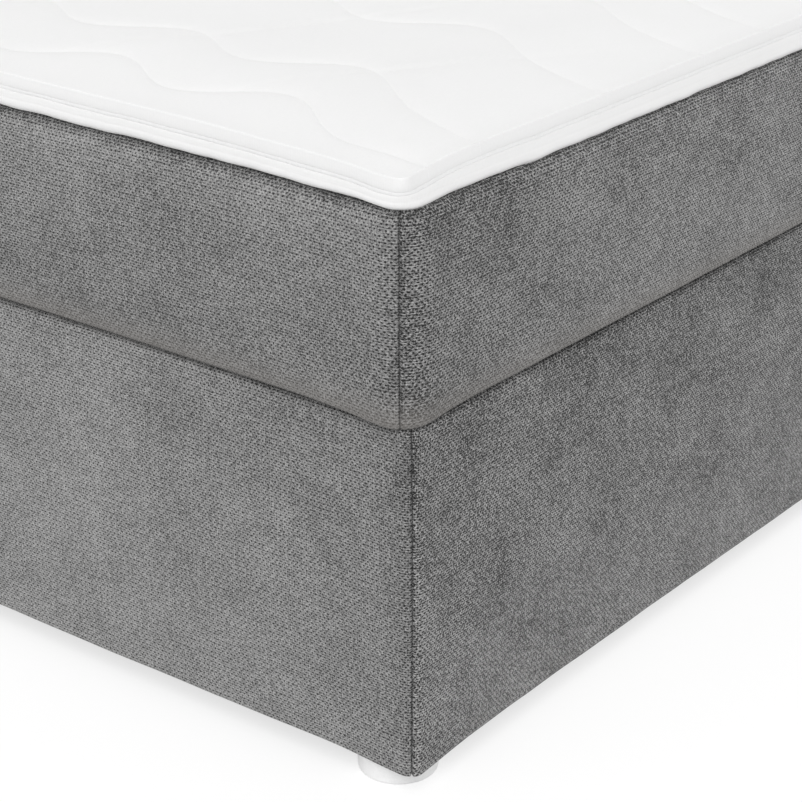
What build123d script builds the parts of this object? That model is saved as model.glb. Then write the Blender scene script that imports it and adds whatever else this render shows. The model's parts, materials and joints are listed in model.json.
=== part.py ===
# Box spring bed for two: a sprung and upholstered box on low round feet, a
# pocket spring mattress on it, and a thin quilted topper with a zipped cover.
# Millimetres. X runs across the bed, Y along it with the head end at +Y, Z up.
# The origin is on the floor, under the middle of the bed.
from build123d import *
import os
from math import cos, pi, sin

# Driving sizes of the bed
BED_WIDTH = 1400
BED_LENGTH = 2000
LAY_GAP = 0.3  # between soft pieces that only lie on each other

# Box: woven cover over wadding, round a timber frame
COVER = 2
WADDING = 7
BASE_BULGE = 3  # how far the sides swell at mid height
BASE_EDGE_R = 8
BASE_CORNER_R = 22
BASE_HEM = 20  # how far the cover turns in, on top and underneath

# Timber frame
RAIL = 20
RAIL_HEIGHT = 200
SLAT = 18
SLAT_WIDTH = 80
BEAM_WIDTH = 30
BEAM_HEIGHT = 100
BLOCK = 60
MIDDLE_FOOT_SHARE = 1 / 3  # of half the bed's length, from the middle

# Frame screws, through the end rails into the side rails
SCREW_R = 2.2
SCREW_HEAD_R = 4.2
SCREW_HEAD = 3
SCREW_LENGTH = 70
SCREW_INSET = 14.5  # from the frame's side, clear of its rounded corner
SCREW_HEIGHT_SHARES = (0.2, 0.5, 0.8)  # of the side rail's height

# Feet
FOOT_HEIGHT = 30
FOOT_R = 40
FOOT_TAPER = 2
FOOT_ROUND = 3
FOOT_SETBACK = 51  # from each side of the bed to the foot's axis
FOOT_RECESS_R = 10
FOOT_RECESS = 9
BOLT_R = 4
BOLT_CLEAR = 0.1
BOLT_HEAD_R = 8
BOLT_HEAD = 5
BOLT_SOCKET_R = 3
BOLT_SOCKET = 3
INSERT_R = 6
INSERT_LENGTH = 20
INSERT_SPARE = 3  # how far the insert reaches past the bolt's tip

# Headboard fixing
HEADBOARD_INSET = 200  # from each side of the bed to the bolts
HEADBOARD_RISE = 120
HEADBOARD_HEIGHT = 135  # of the pattern's middle above the floor
HEADBOARD_HOLE_R = 4.5
TEE_NUT_R = 5.5
TEE_NUT_BORE_R = 4.2
TEE_NUT_LENGTH = 10
TEE_FLANGE_R = 11
TEE_FLANGE = 1.5

# Staples that hold the dust cover under the frame
STAPLE_CROWN = 12
STAPLE_LEG = 8
STAPLE_WIRE = 1.2
STAPLE_SPACING = 140

# Spring unit of the box
SPRING_HEIGHT = 95
SPRING_END_R = 50
SPRING_WAIST_R = 28
SPRING_WIRE = 2.6
SPRING_TURNS = 4
SPRING_SPACING = 118
BORDER_WIRE = 4
BORDER_BEND_R = 30
RING_GAP = 1
EDGE_FOAM = 45
FELT = 5
BASE_FOAM = 23

# Mattress
TICKING = 3  # cover of the mattress
MATTRESS_BULGE = 4
MATTRESS_EDGE_R = 16
MATTRESS_CORNER_R = 30
MATTRESS_HEM = 24
MATTRESS_FRAME = 60  # width of the foam edge round the pockets
COMFORT_FOAM = 25
MATTRESS_FELT = 2
POCKET_HEIGHT = 140
POCKET_SPACING = 72
POCKET_GAP = 4
POCKET_SHOULDER = 6

# Topper
TOPPER_INSET = 5  # from the mattress's side to the topper's
TOPPER_CORNER_R = 26
TOPPER_BASE = 2
TOPPER_WALL = 4
TOPPER_CORE = 24
LOWER_STRIP = 16.5
ZIP_SLOT = 3.5
UPPER_STRIP = 13
STRIP_ROUND = 4
TOPPER_CROWN = 7
CROWN_RUN = 100
ZIP_TAPE_RECESS = 1.5

# Quilting: wavy stitched channels along the bed
WAVE_STEP = 107.5  # half a wave
WAVE_SWING = 24
CHANNEL_WIDTH = 18
CHANNEL_DEPTH = 5
CHANNEL_OFFSETS = (0, 125, 300, 495, 605)  # from the bed's middle line
OVERRUN = 5  # how far a cutter stands out of what it cuts

# Zip slider and pull
ZIP_CLEAR = 0.3
SLIDER_WIDTH = 9
SLIDER_HEIGHT = 8
SLIDER_PLATE = 1.2
SLIDER_NECK = 2.5
SLIDER_PARK = 80  # from the topper's corner, where the zip is closed
PIN_R = 0.7
PIN_CLEAR = 0.06
EYE_R = 1.5
LUG = 1.2
PULL_WIDTH = 4.5
PULL_LENGTH = 15
PULL_THICKNESS = 1.2

# Levels, from the floor up
frame_low = FOOT_HEIGHT + COVER
rail_top = frame_low + RAIL_HEIGHT
deck_top = rail_top + SLAT
unit_top = deck_top + SPRING_HEIGHT
foam_low = unit_top + FELT
platform_low = foam_low + BASE_FOAM
base_top = platform_low + COVER
mattress_low = base_top + LAY_GAP
pocket_low = mattress_low + TICKING + COMFORT_FOAM + MATTRESS_FELT
pocket_top = pocket_low + POCKET_HEIGHT
mattress_top = pocket_top + MATTRESS_FELT + COMFORT_FOAM + TICKING
topper_low = mattress_top + LAY_GAP
slot_low = topper_low + LOWER_STRIP
slot_top = slot_low + ZIP_SLOT
border_top = slot_top + UPPER_STRIP
topper_top = border_top + TOPPER_CROWN

# Plan sizes
side_stack = COVER + BASE_BULGE + WADDING  # from the bed's side to the timber
frame_width = BED_WIDTH - 2 * side_stack
frame_length = BED_LENGTH - 2 * side_stack
frame_corner_r = BASE_CORNER_R - side_stack
unit_width = frame_width - 2 * EDGE_FOAM
unit_length = frame_length - 2 * EDGE_FOAM
core_width = BED_WIDTH - 2 * MATTRESS_FRAME
core_length = BED_LENGTH - 2 * MATTRESS_FRAME
topper_width = BED_WIDTH - 2 * TOPPER_INSET
topper_length = BED_LENGTH - 2 * TOPPER_INSET

parts = {}


def slab(width, length, low, height, radius=0):
    """Flat piece centred on the bed, with its corners rounded in plan."""
    plan = RectangleRounded(width, length, radius) if radius else Rectangle(width, length)
    return Pos(0, 0, low) * extrude(plan, amount=height)


def block(x, y, low, width, length, height):
    """Upright block centred on x and y, from the level low."""
    return Pos(x, y, low) * extrude(Rectangle(width, length), amount=height)


def rod(x, y, low, radius, length):
    """Upright round rod or cutter from the level low."""
    return Pos(x, y, low) * extrude(Circle(radius), amount=length)


def spread(run, spacing):
    """Places over a run, evenly spaced at about the spacing, from end to end."""
    count = max(1, round(run / spacing))
    return [run * (i / count - 1 / 2) for i in range(count + 1)]


def cover_line(low, high, bulge, edge_r, end, inside):
    """Line round a swelling side: under it, up it and over it, this far inside its skin."""
    deep = bulge + edge_r
    lower, middle, upper = low + edge_r, (low + high) / 2, high - edge_r
    return [
        Line((end, low + inside), (deep, low + inside)),
        CenterArc((deep, lower), edge_r - inside, 270, -90),
        ThreePointArc((bulge + inside, lower), (inside, middle), (bulge + inside, upper)),
        CenterArc((deep, upper), edge_r - inside, 180, -90),
        Line((deep, high - inside), (end, high - inside)),
    ]


def cover_section(low, high, bulge, edge_r, hem, cloth):
    """Section of a cover panel: depth behind the bed's side across, height up."""
    ends = [Line((hem, low), (hem, low + cloth)), Line((hem, high), (hem, high - cloth))]
    outside = cover_line(low, high, bulge, edge_r, hem, 0)
    inside = cover_line(low, high, bulge, edge_r, hem, cloth)
    return make_face(outside + inside + ends)


def filling_section(low, high, bulge, edge_r, back, cloth):
    """Section of what fills a cover panel, back to a flat face this deep."""
    wall = Line((back, low + cloth), (back, high - cloth))
    return make_face(cover_line(low, high, bulge, edge_r, back, cloth) + [wall])


def side_panel(section, across, along, radius):
    """The +X side of a box, with half of each corner beside it."""
    facing = {"x_dir": (-1, 0, 0), "z_dir": (0, 1, 0)}
    straight = along / 2 - radius
    start = Plane(origin=(across / 2, -straight, 0), **facing)
    end = Plane(origin=(across / 2, straight, 0), **facing)
    pivot = Axis((across / 2 - radius, straight, 0), (0, 0, 1))
    turn = revolve(end * section, axis=pivot, revolution_arc=45)
    return extrude(start * section, amount=2 * straight) + turn + mirror(turn, Plane.XZ)


def four_panels(section, radius):
    """Right, head, left and foot panels of the box or the mattress."""
    side = side_panel(section, BED_WIDTH, BED_LENGTH, radius)
    end = side_panel(section, BED_LENGTH, BED_WIDTH, radius)
    return {
        "right": side,
        "head": Rot(0, 0, 90) * end,
        "left": Rot(0, 0, 180) * side,
        "foot": Rot(0, 0, 270) * end,
    }


# Places that several pieces share
foot_x = BED_WIDTH / 2 - FOOT_SETBACK
foot_y = BED_LENGTH / 2 - FOOT_SETBACK
middle_y = BED_LENGTH / 2 * MIDDLE_FOOT_SHARE
foot_places = {
    "foot_end_left": (-foot_x, -foot_y),
    "foot_end_right": (foot_x, -foot_y),
    "head_end_left": (-foot_x, foot_y),
    "head_end_right": (foot_x, foot_y),
    "middle_front": (0, -middle_y),
    "middle_back": (0, middle_y),
}
bolt_places = [
    (sx * (BED_WIDTH / 2 - HEADBOARD_INSET), HEADBOARD_HEIGHT + sz * HEADBOARD_RISE / 2)
    for sx in (-1, 1)
    for sz in (-1, 1)
]


def headboard_rods(radius, outer, depth):
    """Level round rods at the four headboard bolts, from a depth behind the head end's face."""
    face = BED_LENGTH / 2 - outer
    return [
        Pos(x, face, z) * Rot(90, 0, 0) * extrude(Circle(radius), amount=depth)
        for x, z in bolt_places
    ]


def frame_screws():
    """Countersunk screws through the end rails into the ends of the side rails."""
    x = frame_width / 2 - SCREW_INSET
    shank = extrude(Circle(SCREW_R), amount=SCREW_LENGTH)
    cone = loft([Circle(SCREW_HEAD_R), Pos(0, 0, SCREW_HEAD) * Circle(SCREW_R)])
    screw = shank + cone
    places = []
    for end, turn in ((-1, -90), (1, 90)):
        for side in (-1, 1):
            for share in SCREW_HEIGHT_SHARES:
                z = frame_low + RAIL_HEIGHT * share
                place = Pos(side * x, end * frame_length / 2, z) * Rot(turn, 0, 0)
                places.append(place * screw)
    return places


def staple_places():
    """Centre and turn of each staple, between the feet and along the rails."""
    along = BED_LENGTH - 2 * (FOOT_SETBACK + FOOT_R + STAPLE_SPACING)
    over = BED_WIDTH - 2 * (FOOT_SETBACK + FOOT_R + STAPLE_SPACING / 2)
    x = BED_WIDTH / 2 - (BASE_HEM + side_stack + RAIL) / 2
    y = BED_LENGTH / 2 - (BASE_HEM + side_stack + RAIL) / 2
    sides = [(s * x, v, 90) for s in (-1, 1) for v in spread(along, STAPLE_SPACING)]
    ends = [(v, s * y, 0) for s in (-1, 1) for v in spread(over, STAPLE_SPACING)]
    return sides + ends


def staples():
    """One wire staple for each place, with its crown under the dust cover."""
    below = (Align.CENTER, Align.CENTER, Align.MAX)
    crown = Box(STAPLE_CROWN, STAPLE_WIRE, STAPLE_WIRE, align=below)
    leg = extrude(Rectangle(STAPLE_WIRE, STAPLE_WIRE), amount=COVER + STAPLE_LEG)
    reach = (STAPLE_CROWN - STAPLE_WIRE) / 2
    one = crown + Pos(reach, 0, 0) * leg + Pos(-reach, 0, 0) * leg
    return [Pos(x, y, FOOT_HEIGHT) * Rot(0, 0, turn) * one for x, y, turn in staple_places()]


def box_frame():
    """Rails, beam, blocks, slats and the screws and staples in them."""
    outline = slab(frame_width, frame_length, frame_low, RAIL_HEIGHT + SLAT, frame_corner_r)
    rail_x = frame_width / 2 - RAIL / 2
    rail_y = frame_length / 2 - RAIL / 2
    inner_length = frame_length - 2 * RAIL
    screws, pins = frame_screws(), staples()
    for name, side in (("left", -1), ("right", 1)):
        rail = block(side * rail_x, 0, frame_low, RAIL, inner_length, RAIL_HEIGHT)
        parts["frame_rail_" + name] = rail - screws - pins
    for name, side in (("foot", -1), ("head", 1)):
        rail = block(0, side * rail_y, frame_low, frame_width, RAIL, RAIL_HEIGHT + SLAT)
        parts["frame_rail_" + name] = (rail & outline) - screws - pins
    bores = headboard_rods(HEADBOARD_HOLE_R, side_stack, RAIL)
    bores += headboard_rods(TEE_NUT_R, side_stack + RAIL - TEE_NUT_LENGTH, TEE_NUT_LENGTH)
    parts["frame_rail_head"] -= bores
    parts["frame_screws"] = Compound(children=screws)
    parts["dust_cover_staples"] = Compound(children=pins)
    beam_low = rail_top - BEAM_HEIGHT
    parts["frame_centre_beam"] = block(0, 0, beam_low, BEAM_WIDTH, inner_length, BEAM_HEIGHT)
    for name, (x, y) in foot_places.items():
        bore = rod(x, y, frame_low, INSERT_R, INSERT_LENGTH)
        if x:
            across = frame_width / 2 - RAIL - BLOCK / 2
            along = frame_length / 2 - RAIL - BLOCK / 2
            x, y = (across if x > 0 else -across), (along if y > 0 else -along)
            parts["corner_block_" + name] = block(x, y, frame_low, BLOCK, BLOCK, RAIL_HEIGHT) - bore
        else:
            tall = RAIL_HEIGHT - BEAM_HEIGHT
            parts["foot_block_" + name] = block(x, y, frame_low, BLOCK, BLOCK, tall) - bore


def feet():
    """Round feet with a recess underneath, their bolts and the inserts in the frame."""
    side = [
        Line((BOLT_R + BOLT_CLEAR, FOOT_RECESS), (FOOT_RECESS_R, FOOT_RECESS)),
        Line((FOOT_RECESS_R, FOOT_RECESS), (FOOT_RECESS_R, 0)),
        Line((FOOT_RECESS_R, 0), (FOOT_R - FOOT_TAPER - FOOT_ROUND, 0)),
        RadiusArc(
            (FOOT_R - FOOT_TAPER - FOOT_ROUND, 0), (FOOT_R - FOOT_TAPER, FOOT_ROUND), -FOOT_ROUND
        ),
        Line((FOOT_R - FOOT_TAPER, FOOT_ROUND), (FOOT_R, FOOT_HEIGHT)),
        Line((FOOT_R, FOOT_HEIGHT), (BOLT_R + BOLT_CLEAR, FOOT_HEIGHT)),
        Line((BOLT_R + BOLT_CLEAR, FOOT_HEIGHT), (BOLT_R + BOLT_CLEAR, FOOT_RECESS)),
    ]
    foot = revolve(Plane.XZ * make_face(side), axis=Axis.Z)
    head_low = FOOT_RECESS - BOLT_HEAD
    bolt_top = frame_low + INSERT_LENGTH - INSERT_SPARE
    bolt = rod(0, 0, head_low, BOLT_HEAD_R, BOLT_HEAD)
    bolt += rod(0, 0, FOOT_RECESS, BOLT_R, bolt_top - FOOT_RECESS)
    bolt -= Pos(0, 0, head_low) * extrude(RegularPolygon(BOLT_SOCKET_R, 6), amount=BOLT_SOCKET)
    insert = rod(0, 0, frame_low, INSERT_R, INSERT_LENGTH)
    insert -= rod(0, 0, frame_low, BOLT_R + BOLT_CLEAR, INSERT_LENGTH)
    for name, (x, y) in foot_places.items():
        parts["foot_" + name] = Pos(x, y, 0) * foot
    places = [Pos(x, y, 0) for x, y in foot_places.values()]
    parts["foot_bolts"] = Compound(children=[place * bolt for place in places])
    parts["foot_inserts"] = Compound(children=[place * insert for place in places])


def coil_spring():
    """One waisted coil of round turns, its wire a small triangle in section."""
    halves = 2 * SPRING_TURNS
    rise = SPRING_HEIGHT - 2 * SPRING_WIRE
    swell = SPRING_END_R - SPRING_WAIST_R
    points = []
    for k in range(halves + 1):
        share = k / halves
        radius = SPRING_WAIST_R + swell * (2 * share - 1) ** 2
        points.append(Vector(radius * cos(pi * k), radius * sin(pi * k), share * rise))
    heading = Vector(0, SPRING_END_R, rise / halves / pi)
    edges = []
    for start, end in zip(points, points[1:]):
        edges.append(Edge.make_tangent_arc(start, heading, end))
        heading = edges[-1] % 1
    path = Wire(edges)
    section = Plane(origin=path @ 0, z_dir=path % 0) * RegularPolygon(SPRING_WIRE / 2, 3)
    return Pos(0, 0, SPRING_WIRE) * sweep(section, path=path).solids()[0]


def spring_unit():
    """Springs in rows on the slats, the border wires, the foam edge and the felt."""
    margin = LAY_GAP + BORDER_WIRE + RING_GAP + SPRING_WIRE / 2 + SPRING_END_R
    columns = spread(unit_width - 2 * margin, SPRING_SPACING)
    rows = spread(unit_length - 2 * margin, SPRING_SPACING)
    slat = block(0, 0, rail_top, frame_width, SLAT_WIDTH, SLAT)
    parts["deck_slats"] = Compound(children=[Pos(0, y, 0) * slat for y in rows])
    spring = coil_spring()
    places = [Pos(x, y, deck_top) for y in rows for x in columns]
    parts["box_springs"] = Compound(children=[place * spring for place in places])
    inset = 2 * LAY_GAP + BORDER_WIRE
    for name, z in (
        ("lower", deck_top + BORDER_WIRE / 2),
        ("upper", unit_top - BORDER_WIRE / 2),
    ):
        loop = RectangleRounded(unit_width - inset, unit_length - inset, BORDER_BEND_R)
        path = (Pos(0, 0, z) * loop).wire()
        section = Plane(origin=path @ 0, z_dir=path % 0) * Circle(BORDER_WIRE / 2)
        parts["border_wire_" + name] = sweep(section, path=path)
    foam_height = SPRING_HEIGHT + FELT
    foam = slab(frame_width, frame_length, deck_top, foam_height, frame_corner_r)
    parts["box_edge_foam"] = foam - slab(unit_width, unit_length, deck_top, foam_height)
    parts["box_felt"] = slab(unit_width, unit_length, unit_top, FELT)
    parts["box_top_foam"] = slab(frame_width, frame_length, foam_low, BASE_FOAM, frame_corner_r)


def box_cover():
    """Side panels over wadding, the platform on top and the dust cover underneath."""
    outline = (FOOT_HEIGHT, base_top, BASE_BULGE, BASE_EDGE_R)
    panels = four_panels(cover_section(*outline, BASE_HEM, COVER), BASE_CORNER_R)
    waddings = four_panels(filling_section(*outline, side_stack, COVER), BASE_CORNER_R)
    bores = headboard_rods(HEADBOARD_HOLE_R, 0, side_stack)
    for name, panel in panels.items():
        parts["box_panel_" + name] = panel - bores if name == "head" else panel
    right, head, left, foot = waddings.values()
    parts["box_wadding"] = right + head + left + foot - bores
    width, length = BED_WIDTH - 2 * BASE_HEM, BED_LENGTH - 2 * BASE_HEM
    corner = BASE_CORNER_R - BASE_HEM
    parts["box_platform"] = slab(width, length, platform_low, COVER, corner)
    cuts = [rod(x, y, FOOT_HEIGHT, BOLT_R + BOLT_CLEAR, COVER) for x, y in foot_places.values()]
    parts["dust_cover"] = slab(width, length, FOOT_HEIGHT, COVER, corner) - cuts - staples()


def headboard_tee_nuts():
    """Tee nuts behind the head rail, one for each headboard bolt."""
    inner = side_stack + RAIL
    barrels = headboard_rods(TEE_NUT_R, inner - TEE_NUT_LENGTH, TEE_NUT_LENGTH)
    flanges = headboard_rods(TEE_FLANGE_R, inner, TEE_FLANGE)
    bores = headboard_rods(TEE_NUT_BORE_R, inner - TEE_NUT_LENGTH, TEE_NUT_LENGTH + TEE_FLANGE)
    nuts = [(a + b) - c for a, b, c in zip(barrels, flanges, bores)]
    parts["headboard_tee_nuts"] = Compound(children=nuts)


def mattress():
    """Cover panels, foam and felt layers, foam edge and the pocket spring core."""
    outline = (mattress_low, mattress_top, MATTRESS_BULGE, MATTRESS_EDGE_R)
    section = cover_section(*outline, MATTRESS_HEM, TICKING)
    for name, panel in four_panels(section, MATTRESS_CORNER_R).items():
        parts["mattress_panel_" + name] = panel
    width, length = BED_WIDTH - 2 * MATTRESS_HEM, BED_LENGTH - 2 * MATTRESS_HEM
    corner = MATTRESS_CORNER_R - MATTRESS_HEM
    parts["mattress_top"] = slab(width, length, mattress_top - TICKING, TICKING, corner)
    parts["mattress_bottom"] = slab(width, length, mattress_low, TICKING, corner)
    low, high = mattress_low + TICKING, mattress_top - TICKING
    edge = slab(width, length, low, high - low, corner)
    filling = filling_section(*outline, MATTRESS_HEM, TICKING)
    for piece in four_panels(filling, MATTRESS_CORNER_R).values():
        edge += piece
    parts["mattress_edge_foam"] = edge - slab(core_width, core_length, low, high - low)
    for name, z, height in (
        ("mattress_comfort_lower", low, COMFORT_FOAM),
        ("mattress_felt_lower", pocket_low - MATTRESS_FELT, MATTRESS_FELT),
        ("mattress_felt_upper", pocket_top, MATTRESS_FELT),
        ("mattress_comfort_upper", high - COMFORT_FOAM, COMFORT_FOAM),
    ):
        parts[name] = slab(core_width, core_length, z, height)
    radius = (POCKET_SPACING - POCKET_GAP) / 2
    half = Polyline(
        (0, 0),
        (radius - POCKET_SHOULDER, 0),
        (radius, POCKET_SHOULDER),
        (radius, POCKET_HEIGHT - POCKET_SHOULDER),
        (radius - POCKET_SHOULDER, POCKET_HEIGHT),
        (0, POCKET_HEIGHT),
        close=True,
    )
    pocket = revolve(Plane.XZ * make_face(half), axis=Axis.Z)
    columns = spread(core_width - POCKET_SPACING, POCKET_SPACING)
    rows = spread(core_length - POCKET_SPACING, POCKET_SPACING)
    places = [Pos(x, y, pocket_low) for y in rows for x in columns]
    parts["pocket_springs"] = Compound(children=[place * pocket for place in places])


def crown_section(span):
    """Section of the topper's upper cover across a span, from the zip slot to the crown."""
    half, flat = span / 2, span / 2 - CROWN_RUN
    round_top = border_top - STRIP_ROUND
    shoulder = half - STRIP_ROUND
    radius = ((shoulder - flat) ** 2 + TOPPER_CROWN**2) / (2 * TOPPER_CROWN)
    sides = [
        Line((-half, slot_top), (half, slot_top)),
        Line((-flat, topper_top), (flat, topper_top)),
    ]
    for s in (-1, 1):
        sides += [
            Line((s * half, slot_top), (s * half, round_top)),
            RadiusArc((s * half, round_top), (s * shoulder, border_top), -s * STRIP_ROUND),
            RadiusArc((s * shoulder, border_top), (s * flat, topper_top), -s * radius),
        ]
    return make_face(sides)


def channel_cutters(x):
    """Cutter for one wavy stitched channel, sinking to the border at both ends."""
    run = topper_length / 2 - CROWN_RUN
    places = spread(2 * run, WAVE_STEP)
    edges = []
    for i, (start, end) in enumerate(zip(places, places[1:])):
        swing = WAVE_SWING * (-1) ** i
        edges.append(ThreePointArc((x, start), (x + swing, (start + end) / 2), (x, end)))
    path = Pos(0, 0, topper_top) * Wire(edges)

    def section(place, heading):
        across = heading.cross(Vector(0, 0, 1))
        notch = Polyline(
            (-CHANNEL_WIDTH, -CHANNEL_DEPTH),
            (CHANNEL_WIDTH, -CHANNEL_DEPTH),
            (0, CHANNEL_DEPTH),
            close=True,
        )
        return Plane(origin=place, x_dir=across, z_dir=heading) * make_face(notch)

    cutters = [sweep(section(path @ 0, path % 0), path=path)]
    for s in (-1, 1):
        inner = Vector(x, s * run, topper_top)
        slope = Vector(0, s * CROWN_RUN, -TOPPER_CROWN)
        cutters.append(extrude(section(inner, slope.normalized()), amount=slope.length + OVERRUN))
    return cutters


def topper():
    """Zipped cover with quilted top, its zip tape and the foam core."""
    inner_width, inner_length = topper_width - 2 * TOPPER_WALL, topper_length - 2 * TOPPER_WALL
    inner_r = TOPPER_CORNER_R - TOPPER_WALL
    core_low = topper_low + TOPPER_BASE
    core = slab(inner_width, inner_length, core_low, TOPPER_CORE, inner_r)
    parts["topper_core"] = core
    lower = slab(topper_width, topper_length, topper_low, LOWER_STRIP, TOPPER_CORNER_R)
    rims = lower.faces().sort_by(Axis.Z)
    lower = fillet(rims[0].edges() + rims[-1].edges(), STRIP_ROUND)
    parts["topper_cover_lower"] = lower - core
    across = extrude(Plane.XZ * crown_section(topper_width), amount=topper_length / 2, both=True)
    along = extrude(Plane.YZ * crown_section(topper_length), amount=topper_width / 2, both=True)
    height = topper_top - slot_top
    upper = slab(topper_width, topper_length, slot_top, height, TOPPER_CORNER_R)
    upper = (upper & across & along) - core
    for x in CHANNEL_OFFSETS:
        for side in (-1, 1) if x else (1,):
            upper -= channel_cutters(side * x)
    parts["topper_cover_upper"] = upper
    outer = 2 * ZIP_TAPE_RECESS
    tape_r = TOPPER_CORNER_R - ZIP_TAPE_RECESS
    tape = slab(topper_width - outer, topper_length - outer, slot_low, ZIP_SLOT, tape_r)
    parts["topper_zip_tape"] = tape - core


def zip_slider():
    """Slider at the head end's zip, and its pull hanging on a pin."""
    face = topper_length / 2
    x = SLIDER_PARK - topper_width / 2
    z = (slot_low + slot_top) / 2
    plate_back = face + ZIP_CLEAR
    plate_front = plate_back + SLIDER_PLATE
    pin_y = plate_front + ZIP_CLEAR + EYE_R
    tape_face = face - ZIP_TAPE_RECESS
    neck_back = tape_face + ZIP_CLEAR

    def bar(width, height, back, front):
        return Pos(x, (back + front) / 2, z) * Box(width, front - back, height)

    slider = bar(SLIDER_WIDTH, SLIDER_HEIGHT, plate_back, plate_front)
    slider += bar(SLIDER_NECK, SLIDER_NECK, neck_back, plate_back)
    reach = PULL_WIDTH / 2 + ZIP_CLEAR + LUG / 2
    for s in (-1, 1):
        lug = Pos(s * reach, 0, 0) * bar(LUG, 2 * EYE_R, plate_front, pin_y + PIN_R)
        slider += lug
    pin = extrude(Circle(PIN_R), amount=reach, both=True)
    slider += Pos(x, pin_y, z) * Rot(0, 90, 0) * pin
    parts["zip_slider"] = slider
    eye = extrude(Circle(EYE_R) - Circle(PIN_R + PIN_CLEAR), amount=PULL_WIDTH / 2, both=True)
    pull = Pos(x, pin_y, z) * Rot(0, 90, 0) * eye
    tab = Rectangle(PULL_WIDTH, PULL_LENGTH) - Pos(0, -PULL_LENGTH / 4) * Circle(PULL_WIDTH / 4)
    low = z - EYE_R - PULL_LENGTH / 2 + PIN_R
    tab = Pos(x, pin_y, low) * Rot(90, 0, 0) * extrude(tab, amount=PULL_THICKNESS / 2, both=True)
    parts["zip_pull"] = pull + tab


box_frame()
feet()
headboard_tee_nuts()
spring_unit()
box_cover()
mattress()
topper()
zip_slider()

os.makedirs("parts", exist_ok=True)
for name, piece in parts.items():
    export_step(piece, f"parts/{name}.step")
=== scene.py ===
# %% [markdown]
# # A box spring bed in woven cloth and quilted knit
#
# The bed is a low upholstered box on round feet, a mattress in the same grey
# cloth, and a thin white quilted topper. A measured model of it already
# holds every piece at its real size: the frame, the springs, the foam, and a
# plain solid for each cover. This lesson dresses it. The covers are remade
# as cloth, with seams, stitched channels and puckers, and each finish is
# built from nodes, so it stays sharp however close the camera comes.

# %% Load the measured bed
import json
import math

import bmesh
import bpy
from mathutils import Matrix, Vector, noise


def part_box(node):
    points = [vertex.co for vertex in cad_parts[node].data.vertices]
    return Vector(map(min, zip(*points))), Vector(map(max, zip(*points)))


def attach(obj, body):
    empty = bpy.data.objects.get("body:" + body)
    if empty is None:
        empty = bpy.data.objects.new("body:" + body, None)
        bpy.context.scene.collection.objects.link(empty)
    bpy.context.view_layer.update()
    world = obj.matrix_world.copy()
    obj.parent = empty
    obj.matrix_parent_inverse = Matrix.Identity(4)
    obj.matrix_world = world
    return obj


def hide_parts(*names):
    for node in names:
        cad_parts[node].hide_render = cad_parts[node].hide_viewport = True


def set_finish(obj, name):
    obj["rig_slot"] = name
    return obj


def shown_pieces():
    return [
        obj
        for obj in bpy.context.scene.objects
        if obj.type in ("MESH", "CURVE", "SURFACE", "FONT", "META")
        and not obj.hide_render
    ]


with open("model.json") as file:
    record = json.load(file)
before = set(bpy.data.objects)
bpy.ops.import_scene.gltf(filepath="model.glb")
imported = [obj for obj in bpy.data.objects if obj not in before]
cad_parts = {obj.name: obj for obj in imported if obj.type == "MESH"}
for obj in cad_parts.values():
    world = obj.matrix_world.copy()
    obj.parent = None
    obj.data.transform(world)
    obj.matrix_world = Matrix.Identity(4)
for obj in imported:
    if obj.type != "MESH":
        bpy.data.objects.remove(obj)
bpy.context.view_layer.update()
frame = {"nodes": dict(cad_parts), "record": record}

# %% [markdown]
# ## Measures
#
# Sizes come from the measured model wherever a piece follows another one.
# Only what cloth adds, such as a pucker's depth or the distance between two
# stitched lines, is given here as a number of its own. Lengths are in
# metres, and MM turns millimetres into them.

# %% Sizes taken from the model
MM = 0.001

box_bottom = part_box("box_panel_left")[0].z
box_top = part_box("box_panel_left")[1].z
mattress_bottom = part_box("mattress_panel_left")[0].z
mattress_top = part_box("mattress_panel_left")[1].z
topper_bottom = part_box("topper_cover_lower")[0].z
slot_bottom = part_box("topper_cover_lower")[1].z
slot_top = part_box("topper_cover_upper")[0].z
topper_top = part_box("topper_cover_upper")[1].z
core_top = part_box("topper_core")[1].z
bed_half = Vector((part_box("box_panel_right")[1].x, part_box("box_panel_head")[1].y))
topper_half = Vector(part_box("topper_cover_upper")[1][:2])
print("box mm", round(box_bottom / MM, 1), round(box_top / MM, 1))
print("mattress mm", round(mattress_bottom / MM, 1), round(mattress_top / MM, 1))
print("topper mm", [round(z / MM, 1) for z in (topper_bottom, slot_bottom, slot_top, core_top, topper_top)])

# %% [markdown]
# ## Small tools
#
# A few short helpers are used all through. There is a smooth step from
# nought to one, a soft bump, and Blender's own noise as a plain number. Noise
# gives cloth its unevenness, and because it depends on the place alone, the
# bed comes out the same every time. Two helpers deal with the round corners
# of a rectangle. The last one draws a loosely laid piece askew near the
# corner at the left of the foot end, because the real topper and mattress do
# not lie quite true on the box.

# %% Helpers for shapes
def ease(share):
    """Smooth step from 0 to 1."""
    share = min(max(share, 0), 1)
    return share * share * (3 - 2 * share)


def bump(distance, width):
    """Soft bump, 1 at no distance and near 0 at twice the width."""
    return math.exp(-((distance / width) ** 2))


def uneven(x, y, z, size):
    """Smooth noise between about -1 and 1 that varies over the given size."""
    return noise.noise(Vector((x, y, z)) / size)


def turned(x, y, half, radius):
    """Outward direction on the edge of a rectangle with round corners."""
    dx = max(abs(x) - (half.x - radius), 0)
    dy = max(abs(y) - (half.y - radius), 0)
    return Vector((math.copysign(dx, x), math.copysign(dy, y), 0)).normalized()


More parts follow.
